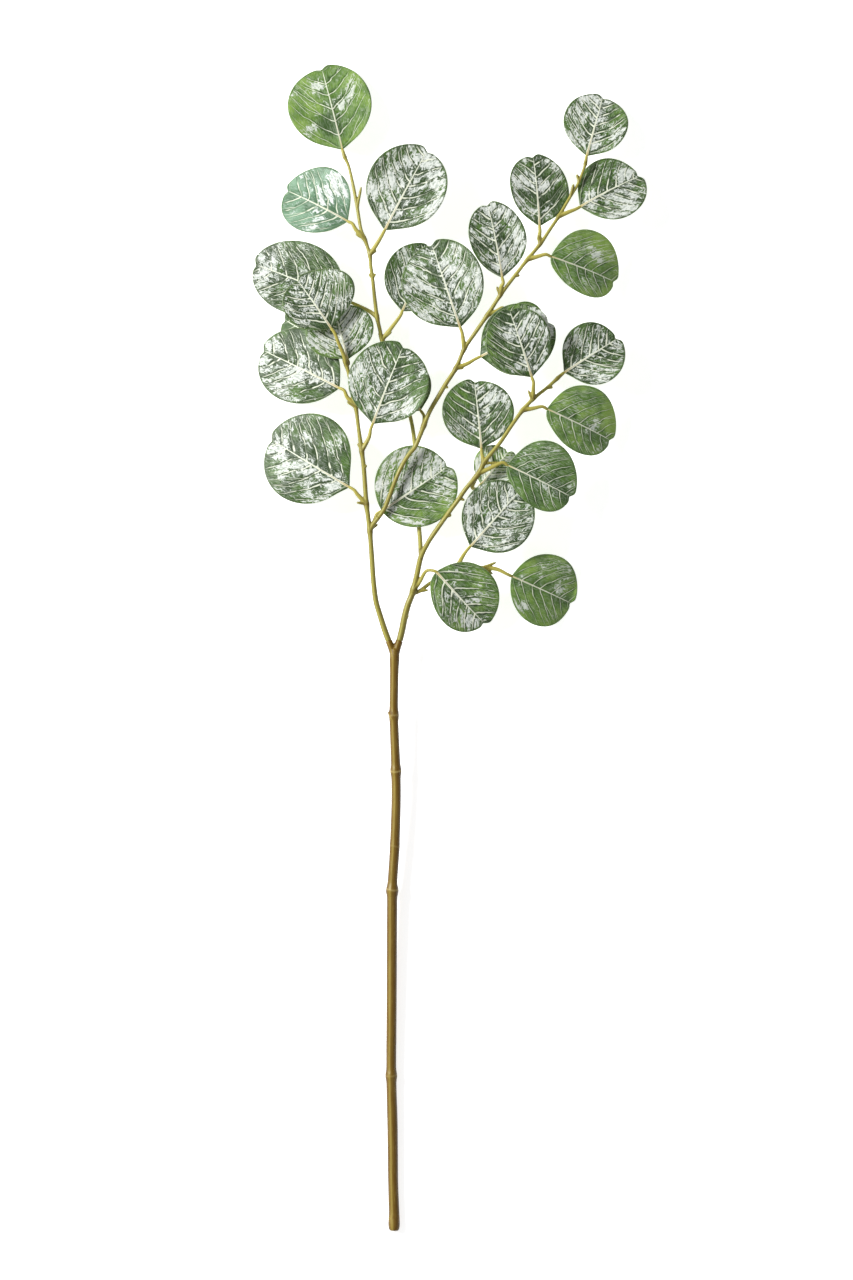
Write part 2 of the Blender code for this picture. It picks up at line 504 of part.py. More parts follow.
def blade_point(u, v, leaf, length, phase):
    """A point of the blade, in mm from its base, for u along it and v across it, each -1 to 1."""
    v = v * (1 + v * v) / 2
    along = u * math.sqrt(1 - v * v / 2)
    across = v * math.sqrt(1 - u * u / 2)
    share = math.hypot(along, across)
    angle = math.atan2(across, along)
    radius = share * blade_radius(angle, leaf, length)
    y = BLADE_CENTRE * length + radius * math.cos(angle)
    progress = y / length
    x = shifted(radius * math.sin(angle), progress, leaf)
    side = x / (leaf.width / 2)
    z = leaf.cup * side * side + 4 * leaf.arch * progress * (1 - progress)
    z += WAVE_HEIGHT * share ** 3 * math.sin(3 * angle + phase) * math.sin(math.pi * progress)
    z += RIDGE_HEIGHT * math.exp(-(x / RIDGE_WIDTH) ** 2) * math.sin(math.pi * min(1.0, progress + 0.15))
    return Vector((x, y, z))


def leaf_frame(leaf):
    """Rotation and place of a leaf: its y axis runs to the tip and its z axis is its upper face."""
    axis = leaf_axis(leaf)
    right = axis.cross(Vector((0, 0, 1))).normalized()
    up = right.cross(axis)
    roll = math.radians(leaf.roll)
    tilted_right = right * math.cos(roll) + up * math.sin(roll)
    tilted_up = up * math.cos(roll) - right * math.sin(roll)
    turn = Matrix((tilted_right, axis, tilted_up)).transposed().to_4x4()
    return Matrix.Translation(to_part(*leaf.base)) @ turn


def rest_on_surface(point):
    """Bend a point of a blade's middle surface up where it would pass through the surface below."""
    floor = BLADE_THICKNESS / 2 * MM
    soft = FLOOR_SOFTNESS * MM
    height = point.z - floor
    if height < soft:
        point.z = floor + max(0.0, height + soft) ** 2 / (4 * soft)
    return point


def build_leaf(name, leaf, index):
    """One leaf blade: an open surface bent by formula and thickened."""
    length = (Vector(leaf.tip) - Vector(leaf.base)).length + NOTCH_DEPTH
    frame = leaf_frame(leaf)
    back = frame.inverted()
    bm = bmesh.new()
    bmesh.ops.create_grid(bm, x_segments=BLADE_COLUMNS, y_segments=BLADE_ROWS, size=1.0)
    for vert in bm.verts:
        local = blade_point(vert.co.y, vert.co.x, leaf, length, index * 1.7) * MM
        vert.co = back @ rest_on_surface(frame @ local)
    bmesh.ops.triangulate(bm, faces=bm.faces)
    mesh = bpy.data.meshes.new(name)
    bm.to_mesh(mesh)
    bm.free()
    mesh.shade_smooth()
    mesh.materials.append(material(name, leaf.colour, 0.5))
    obj = bpy.data.objects.new(name, mesh)
    obj.matrix_world = frame
    thick = obj.modifiers.new("thickness", "SOLIDIFY")
    thick.thickness = BLADE_THICKNESS * MM
    thick.offset = 0.0
    bpy.data.collections[COLLECTION].objects.link(obj)


def main():
    clear_scene()
    for name, stem in STEMS.items():
        build_stem(name, stem)
    for index, (name, leaf) in enumerate(LEAVES.items()):
        build_leaf(name, leaf, index)


main()
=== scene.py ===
"""Looks of a eucalyptus branch: fine leaf blades, bark, veins and bloom, a camera, a floor and light.

Sizes are in millimetres until they are written to a mesh. Points are given from the branch's cut
end, as in the model of its solids, with z above the surface that the branch lies on.
"""

import math
from collections import namedtuple

import bpy
import numpy as np
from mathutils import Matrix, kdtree


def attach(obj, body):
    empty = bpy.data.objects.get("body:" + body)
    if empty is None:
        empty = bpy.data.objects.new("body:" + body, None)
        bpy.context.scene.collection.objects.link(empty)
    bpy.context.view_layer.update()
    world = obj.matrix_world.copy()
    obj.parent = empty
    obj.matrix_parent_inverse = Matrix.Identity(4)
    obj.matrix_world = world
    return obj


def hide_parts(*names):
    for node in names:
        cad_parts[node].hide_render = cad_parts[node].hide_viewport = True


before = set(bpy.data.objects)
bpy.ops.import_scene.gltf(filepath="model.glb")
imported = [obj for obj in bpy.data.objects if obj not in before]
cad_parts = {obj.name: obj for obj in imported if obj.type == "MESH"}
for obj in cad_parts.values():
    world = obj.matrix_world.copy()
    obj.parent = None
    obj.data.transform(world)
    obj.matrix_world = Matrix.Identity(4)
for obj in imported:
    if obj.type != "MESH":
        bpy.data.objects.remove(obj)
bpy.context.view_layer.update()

MM = 0.001
ORIGIN_UP_STEM = 6.0

# Leaf blades, as in the solids
BLADE_CENTRE = 0.52
TIP_REACH = 0.48
WEDGE_SPREAD = 0.2
NOTCH_DEPTH = 1.9
NOTCH_SPREAD = 0.10
LOBE_STEP = 1.1
LOBE_TURN = 0.06
LOBE_SPREAD = 0.7
BIAS_RISE = 9.0
MOST_BIAS = 0.75
MIDRIB_WIDTH = 1.4
WAVE_HEIGHT = 0.9
FLOOR_SOFTNESS = 1.2

# Fine leaf surface
CELLS = 68               # quads along and across a blade's face
SKIN = 0.25              # half the blade's thickness in its middle
RIM_SKIN = 0.13          # and at its edge
VEINS_IN_LENGTH = 6.6    # side veins on each side of the midrib
VEIN_SLOPE = 0.62        # how far a side vein runs towards the tip for each mm outwards
VEIN_ARCH = 0.42         # and how much more near the edge
VEIN_GROOVE = 0.2
RIB_HEIGHT = 0.4
FOLD_HEIGHT = 0.5
FOLD_WIDTH = 2.4

# Stems
NODE_SWELL = 0.30
NODE_SPREAD = 2.6
RING_SPREAD = 3.2
PETIOLE_RADII = (1.55, 1.05, 0.95)
STUB_RADII = (1.2, 0.85)
STALK_LEAD = 4.0
STALK_TAIL = 2.6
TUBE_SIDES = 14
SWEEP_STEP = 0.8

# Centre lines as (x, y, z, radius) in mm
COLLAR = ((0, 0, 2.9, 2.5), (0, 0.9, 2.9, 3.2), (0, 2.6, 2.9, 3.6), (0, 5, 2.9, 3.75))
MAIN_STEM = (
    (0, 13, 2.95, 3.4), (-0.7, 36, 3.2, 3.25), (-1.1, 73, 3.7, 3.35), (-1.8, 100, 4.2, 3.25),
    (-2.0, 118, 4.6, 3.2),
    (-1.7, 162, 5.7, 3.25), (-1.5, 211, 7.2, 3.3), (-1.3, 238, 8.2, 3.3), (-0.9, 248, 8.6, 3.1),
    (0.5, 270, 9.5, 3.1), (1.5, 302, 10.9, 3.0), (1.3, 323, 11.9, 3.0), (0.5, 344, 13.0, 2.85),
    (-0.1, 362, 13.9, 2.75), (0, 378, 14.8, 2.7), (0.2, 393, 15.6, 2.8), (0.4, 403, 16.1, 3.2),
    (0.4, 408, 16.3, 2.7),
)
MAIN_RINGS = ((109, 0.65), (239, 0.85), (270, 0.2), (323, 0.65), (362, 0.55))  # (y, bulge)

LEFT_STEM = (
    (-3.7, 414, 16.5, 2.05), (-6.3, 421, 17.2, 2.0), (-9.8, 432, 18.2, 1.85), (-12.6, 442, 19.2, 1.8),
    (-14.3, 456, 20.6, 1.7), (-15.4, 472, 22.2, 1.7), (-16.1, 482, 23.2, 1.6), (-16.8, 491, 24, 1.6),
    (-18.2, 502, 25, 1.5), (-19.2, 510, 25.4, 1.5), (-21, 535, 26, 1.45), (-22.4, 546, 26.2, 1.4),
    (-24.6, 562, 26.6, 1.25), (-26.6, 577, 27, 1.25), (-29.4, 587, 27, 1.15), (-31.5, 600, 27, 1.1),
    (-33.4, 607, 27, 1.1),
)
RIGHT_STEM = (
    (3.9, 414, 16.5, 2.25), (5.6, 421, 17.0, 2.25), (7.4, 430, 18, 2.2), (9.8, 439, 19, 2.15),
    (13.3, 448, 20, 2.0), (16.1, 460, 22, 1.8), (18.9, 472.5, 24, 1.8), (23.1, 481, 26, 1.6),
    (27.5, 488, 27.6, 1.55), (38.5, 503.5, 30.5, 1.5), (44.8, 512, 32, 1.5), (50.4, 520, 33.2, 1.45),
    (58.8, 530, 34.4, 1.45), (62.6, 537.5, 35, 1.4), (67.2, 543.5, 35.2, 1.35), (74.2, 552, 35, 1.3),
    (81.9, 563.5, 34.2, 1.25), (89.6, 574.2, 33, 1.25), (97.3, 582.5, 31.4, 1.2),
    (107.2, 590.5, 29, 1.1), (115, 597.6, 26.8, 1.05),
)
SIDE_TWIG = (
    (13.3, 447, 20, 1.5), (18.2, 448.8, 18.6, 1.3), (25.2, 454, 18, 1.2), (35.7, 460.4, 18.4, 1.1),
    (44.1, 465.2, 19.3, 1.05), (53.2, 466, 19.8, 0.95), (64, 465, 20, 0.9),
)
CENTRE_LEFT_STEM = (
    (18.6, 477.5, 21.8, 1.5), (18.4, 483, 19, 1.45), (17.5, 493.5, 15.6, 1.4), (16.6, 508, 13.4, 1.35),
    (15.8, 528, 12.2, 1.3), (14.7, 549.5, 11.9, 1.3), (12, 568, 12.2, 1.25), (6.3, 587, 13.4, 1.25),
    (-0.7, 607, 16.2, 1.25), (-8.2, 624, 20, 1.3), (-9.8, 631, 21.4, 1.25), (-11.7, 639.5, 23, 1.25),
    (-13.3, 652, 25, 1.2), (-14.9, 667, 26.6, 1.15), (-16.1, 675, 27, 1.15), (-16.8, 683, 27, 1.15),
    (-20.3, 694, 26.2, 1.1), (-23.1, 701.5, 25.2, 1.05), (-25.7, 717, 23.6, 1.1),
    (-28.7, 733, 21.8, 1.0), (-31.5, 745, 20.2, 0.95), (-34.6, 752.2, 19.2, 0.95),
)
CENTRE_RIGHT_STEM = (
    (-10.6, 500, 25.6, 1.5), (-6.6, 506, 26.8, 1.45), (-2.6, 516, 28.3, 1.4), (1.4, 526.5, 29.4, 1.4),
    (6.3, 537, 30, 1.4), (11.2, 544.5, 30, 1.4), (15.4, 550, 30, 1.45), (20.6, 563, 29.8, 1.5),
    (25.2, 574, 29.5, 1.45), (32.2, 586, 29.2, 1.5), (36, 592.5, 29, 1.45), (43.4, 604, 29, 1.35),
    (49, 617, 29.2, 1.3), (57.4, 629.5, 30, 1.3), (65.1, 640.5, 31, 1.3), (74.2, 654.5, 31.8, 1.2),
    (84.7, 668.5, 31.6, 1.15), (93.1, 679.4, 31, 1.15), (102.2, 690.5, 29.6, 1.1),
    (108.5, 700, 28.2, 1.05), (115, 709.8, 26.6, 1.05), (121.8, 721.5, 24.4, 0.95),
    (128.1, 732, 22.4, 0.9), (132.3, 742.5, 20.8, 0.85), (133.8, 747, 20.1, 0.85),
)

# The stumps that the branches grow from, as centre lines on the stem that carries each
FORK_LEFT = ((0.6, 401, 16, 2.3), (-1.4, 408, 16.2, 2.15), (-3.7, 414, 16.5, 2.05))
FORK_RIGHT = ((0.4, 401, 16, 2.4), (2.0, 408, 16.2, 2.3), (3.9, 414, 16.5, 2.25))
STUMP_CENTRE_LEFT = ((18.9, 471.5, 23.9, 1.5), (18.6, 477.5, 21.8, 1.5))
STUMP_CENTRE_RIGHT = ((-16.7, 490.5, 23.9, 1.6), (-14.4, 495.2, 24.8, 1.55), (-10.6, 500, 25.6, 1.5))

# Bud nubs and stubs of old stalks, as (start, end)
MAIN_STUBS = (((-0.8, 360.5, 14), (-4.0, 364.2, 14.4)),)
LEFT_STUBS = (
    ((-18.8, 509, 25.4), (-26.0, 510.3, 26.2)), ((-26.6, 576.5, 27), (-32.6, 580.4, 27.4)),
    ((-22.4, 546, 26.2), (-18.6, 551.4, 27.2)), ((-16.7, 491, 24), (-11.2, 495.2, 22.6)),
    ((-20.8, 534, 26), (-19.0, 536.4, 26.6)), ((-23.2, 548, 26.2), (-25.2, 551.5, 26.4)),
)
RIGHT_STUBS = (
    ((6.6, 426, 17.6), (10.0, 431.6, 18.0)), ((13.3, 447.4, 20), (24.0, 449.4, 19.4)),
    ((35.9, 500, 29.8), (40.2, 501.4, 30.2)), ((45.4, 512.8, 32), (49.4, 511.8, 32)),
    ((96.2, 581.4, 31.6), (93.6, 588.2, 33)), ((106.6, 590, 29.2), (110.8, 590.4, 28.8)),
    ((62.2, 465, 20), (71.4, 468.6, 20.6)), ((62.6, 465.2, 20), (69.0, 460.4, 19.4)),
    ((62.6, 537.5, 35), (76.0, 537.6, 34.6)),
)
CENTRE_LEFT_STUBS = (
    ((-20.1, 693.6, 26.2), (-26.6, 697.4, 26.4)), ((-16.7, 682.8, 27), (-12.2, 685.8, 27.4)),
    ((-8.2, 624, 20), (-1.6, 629.6, 21.4)), ((-25.6, 716, 23.7), (-22.8, 730.4, 23.4)),
    ((-14.8, 666.5, 26.6), (-17.4, 669.6, 26.8)), ((-15, 666.5, 26.6), (-12.8, 669.8, 26.8)),
    ((-8.4, 625, 20.2), (-10.6, 628.6, 20.4)),
)
CENTRE_RIGHT_STUBS = (
    ((43, 603.4, 29), (48.6, 603.8, 29.2)), ((84.2, 667.8, 31.6), (87.6, 668.2, 31.8)),
    ((74, 654, 31.8), (71.6, 660.4, 32.2)), ((123.2, 724, 24), (125.4, 732.4, 24)),
    ((129.2, 734.6, 22), (127.6, 739.4, 22)), ((35.4, 591.4, 29), (37.9, 590, 29)),
    ((101.8, 690, 29.6), (100.2, 695.4, 30)),
)

# brown: how brown a stem is at its cut end and at its tip, then how strong its painted highlight and
# painted shade are
Stem = namedtuple("Stem", "path stubs extras slot voxel brown")
STEMS = {
    "main_stem": Stem(MAIN_STEM, MAIN_STUBS, (FORK_LEFT, FORK_RIGHT), "bark", 0.55, (1.1, 1.0, 0.75)),
    "left_stem": Stem(LEFT_STEM, LEFT_STUBS, (STUMP_CENTRE_RIGHT,), "twig", 0.42, (0.6, 0.3, 0.55)),
    "right_stem": Stem(RIGHT_STEM, RIGHT_STUBS, (SIDE_TWIG, STUMP_CENTRE_LEFT), "twig", 0.42,
                       (0.7, 0.3, 0.55)),
    "centre_left_stem": Stem(CENTRE_LEFT_STEM, CENTRE_LEFT_STUBS, (), "twig", 0.38, (0.4, 0.3, 0.5)),
    "centre_right_stem": Stem(CENTRE_RIGHT_STEM, CENTRE_RIGHT_STUBS, (), "twig", 0.38, (0.6, 0.3, 0.5)),
}
BARK_DEPTH = {"bark": 0.38, "twig": 0.15}    # by how much bark thickens a stem
PALE_RINGS = ((109, 0.25), (239.5, 0.45), (270, 0.2), (322.5, 0.6), (361.5, 0.4))

# roll, cup, arch, bias, heel and lobe shape a blade as they do in the solids.
Leaf = namedtuple("Leaf", "stem stalk base tip width roll cup arch bias heel lobe slot")
LEAVES = {
    "leaf_left_1": Leaf("left_stem", ((-18.9, 509, 25.4), (-25, 515.4, 26.2)),
                        (-31, 521, 25.6), (-85.4, 554.4, 12),
                        64.5, 5, 2.5, 3, 2.6, 0.45, 1, "leaf_frosted"),
    "leaf_left_2": Leaf("left_stem", ((-26.6, 577, 27), (-32.4, 583.5, 27)),
                        (-38, 590, 26.4), (-91.2, 617, 7.5),
                        54, -5, 1.5, 2, 1.2, 0.47, 1, "leaf_frosted"),
    "leaf_left_3": Leaf("left_stem", ((-33.2, 606.4, 27), (-34.6, 612, 30), (-38.6, 621.5, 34)),
                        (-43.4, 631, 35.4), (-66.5, 664, 35),
                        52, -4, 1.5, 2, 6.0, 0.47, 1, "leaf_frosted"),
    "leaf_left_4": Leaf("left_stem", ((-33, 605.6, 27), (-31.7, 607.4, 26.2)),
                        (-32.2, 609.8, 26), (-41.8, 646, 25),
                        48, -3, 1, 2, -0.5, 0.47, -1, "leaf_frosted"),
    "leaf_left_5": Leaf("left_stem", ((-32.8, 605, 27), (-34.6, 609.6, 24)),
                        (-38, 615, 20.6), (-76.4, 639, 0.4),
                        36, 0, 0.5, 1.5, 0, 0.47, 1, "leaf_green"),
    "leaf_inner_1": Leaf("left_stem", ((-22.4, 546, 26.2), (-17.4, 555.5, 27.6)),
                         (-14.7, 565, 28), (6.3, 618.4, 29.6),
                         57, 6, 2, 3, 0.2, 0.46, -1, "leaf_frosted"),
    "leaf_inner_2": Leaf("centre_right_stem", ((21, 564, 29.8), (21.2, 568, 27)),
                         (18.6, 574.5, 24.2), (-1.6, 604.5, 20.4),
                         38, 0, 0.5, 1.5, 0, 0.47, 1, "leaf_frosted"),
    "leaf_cross": Leaf("left_stem", ((-16.6, 490.4, 24), (-13, 499, 22.2)),
                       (-8.6, 504.4, 22.0), (37.6, 535.4, 20),
                       58, -3, 1.5, 2, -1.5, 0.51, 1, "leaf_frosted"),
    "leaf_centre_left_1": Leaf("centre_left_stem", ((-34.2, 751.4, 19.3), (-34.9, 753.2, 19.1)),
                               (-36, 757, 18.6), (-50.6, 814.8, -0.6),
                               59, -3, 2, 3, -1.3, 0.465, 1, "leaf_green"),
    "leaf_centre_left_2": Leaf("centre_left_stem", ((-20.3, 693.7, 26.2), (-26.4, 700.4, 26.6)),
                               (-32.2, 706.3, 25.6), (-74.4, 728.5, 12),
                               49.5, -9, 2, 3, 3.2, 0.47, 1, "leaf_mint"),
    "leaf_centre_left_3": Leaf("centre_left_stem", ((-16.8, 682.8, 27), (-11.6, 690.6, 28.2)),
                               (-6.3, 700, 28.2), (23.1, 755.6, 19),
                               55.5, 5, 3, 3, -0.7, 0.455, -1, "leaf_frosted"),
    "leaf_centre_left_4": Leaf("centre_left_stem", ((-8.2, 624.2, 20), (-2, 632, 20.8)),
                               (5.8, 644, 20.6), (24.6, 687.6, 17),
                               46, -3, 1.5, 2, 0, 0.47, -1, "leaf_frosted"),
    "leaf_centre_left_5": Leaf("centre_left_stem", ((-11.8, 639.8, 23), (-17, 643.8, 20.6),
                                                    (-25, 648, 19)),
                               (-33, 651.4, 18.4), (-96.8, 677.3, 9),
                               52, -5, 2, 3, 1.8, 0.455, 1, "leaf_frosted"),
    "leaf_centre_right_1": Leaf("centre_right_stem", ((133.6, 746.4, 20.2), (134, 748.6, 19.9)),
                                (134.6, 752.4, 19.4), (146.3, 794.4, 0.2),
                                45.5, 2, 2, 2.5, 0, 0.465, -1, "leaf_frosted"),
    "leaf_centre_right_2": Leaf("centre_right_stem", ((114.8, 709.6, 26.6), (122, 712.8, 26.6)),
                                (129.8, 716.4, 25), (171.2, 738.8, 11),
                                47, 16, 0.6, 2, -0.4, 0.47, 1, "leaf_frosted"),
    "leaf_centre_right_3": Leaf("centre_right_stem", ((102.1, 690.3, 29.6), (101.4, 696, 29)),
                                (101.5, 702.8, 27.2), (97.3, 752.2, 13),
                                42.5, -14, 0.5, 1.5, 2.4, 0.45, 1, "leaf_frosted"),
    "leaf_centre_right_4": Leaf("centre_right_stem", ((74.2, 654.4, 31.8), (74.8, 660.4, 33)),
                                (75.4, 666.6, 33.4), (65.3, 717.2, 30),
                                40, -10, 2, 3, 1.8, 0.455, 1, "leaf_frosted"),
    "leaf_centre_right_5": Leaf("centre_right_stem", ((93, 679.2, 31), (100.4, 681.4, 31.6)),
                                (109.2, 681.5, 30.4), (153.8, 665.4, 10),
                                45, 8, 2, 3, -5.6, 0.5, -1, "leaf_green"),
    "leaf_centre_right_6": Leaf("centre_right_stem", ((49, 617, 29.2), (48.2, 624, 30.2)),
                                (46.2, 632.1, 30.4), (26.6, 689.8, 27),
                                57.5, 3, 2.5, 3, -1.8, 0.47, 1, "leaf_frosted"),
    "leaf_centre_right_7": Leaf("centre_right_stem", ((43.2, 603.8, 29), (51, 606.8, 29.2)),
                                (60.2, 611.8, 29.2), (108, 635, 34.6),
                                49.5, 3, 1.5, 2, 1.2, 0.46, 1, "leaf_frosted"),
    "leaf_centre_right_8": Leaf("centre_right_stem", ((65, 640.4, 31), (71.6, 643.4, 30.8)),
                                (79, 644.2, 28.2), (102, 633, 21.5),
                                25, 0, 0.5, 1, 0, 0.47, 1, "leaf_green"),
    "leaf_right_1": Leaf("right_stem", ((114, 596.8, 27), (115.4, 598, 26.7)),
                         (118.6, 600.8, 26), (155.6, 624.6, 18),
                         45, 3, 2, 2.5, 0, 0.455, 1, "leaf_frosted"),
    "leaf_right_2": Leaf("right_stem", ((89.6, 574.2, 33), (97, 575.6, 33)),
                         (106.5, 575.3, 31), (151, 554.4, 11),
                         46, 6, 2, 3, -5.2, 0.5, -1, "leaf_green"),
    "leaf_right_3": Leaf("right_stem", ((58.6, 529.8, 34.4), (68, 534.4, 35)),
                         (79, 536, 34.6), (122.8, 514.4, 26),
                         47, 7, 2, 3, -5.6, 0.5, -1, "leaf_green"),
    "leaf_right_4": Leaf("right_stem", ((57.4, 528.2, 34.1), (54.6, 521, 29.6)),
                         (60.6, 522.8, 25.2), (79.6, 545.4, 23.6),
                         32, 3, 0.5, 1, 0, 0.47, 1, "leaf_frosted"),
    "leaf_right_5": Leaf("right_stem", ((97.1, 582.3, 31.4), (97, 589, 35.4)),
                         (95.9, 597, 38.4), (80.4, 643, 43),
                         46, -4, 1.5, 2, -1.5, 0.46, -1, "leaf_frosted"),
    "leaf_right_6": Leaf("right_stem", ((62.4, 537.2, 35), (61.8, 541.6, 33.8)),
                         (60.9, 547.4, 31.4), (56, 594.1, 26),
                         50.5, -5, 2, 3, 0, 0.465, -1, "leaf_frosted"),
    "leaf_twig_1": Leaf("right_stem", ((44, 465.2, 19.3), (47.6, 472, 22.4)),
                        (53.2, 479.5, 26), (88.2, 519.2, 29),
                        50.5, -2, 1.5, 2, 0.8, 0.465, 1, "leaf_frosted"),
    "leaf_twig_2": Leaf("right_stem", ((14, 449.4, 20.4), (18, 455, 21.6), (22.8, 462.6, 24.8)),
                        (29.5, 462.1, 27.1), (63, 426.2, 14),
                        47, -5, 2, 3, -4.2, 0.51, -1, "leaf_frosted"),
    "leaf_twig_3": Leaf("right_stem", ((63, 465.1, 20), (72, 463.8, 20.4)),
                        (82.2, 459, 19), (123.8, 440.4, -0.6),
                        51, 3, 2, 3, -0.8, 0.5, -1, "leaf_green"),
}
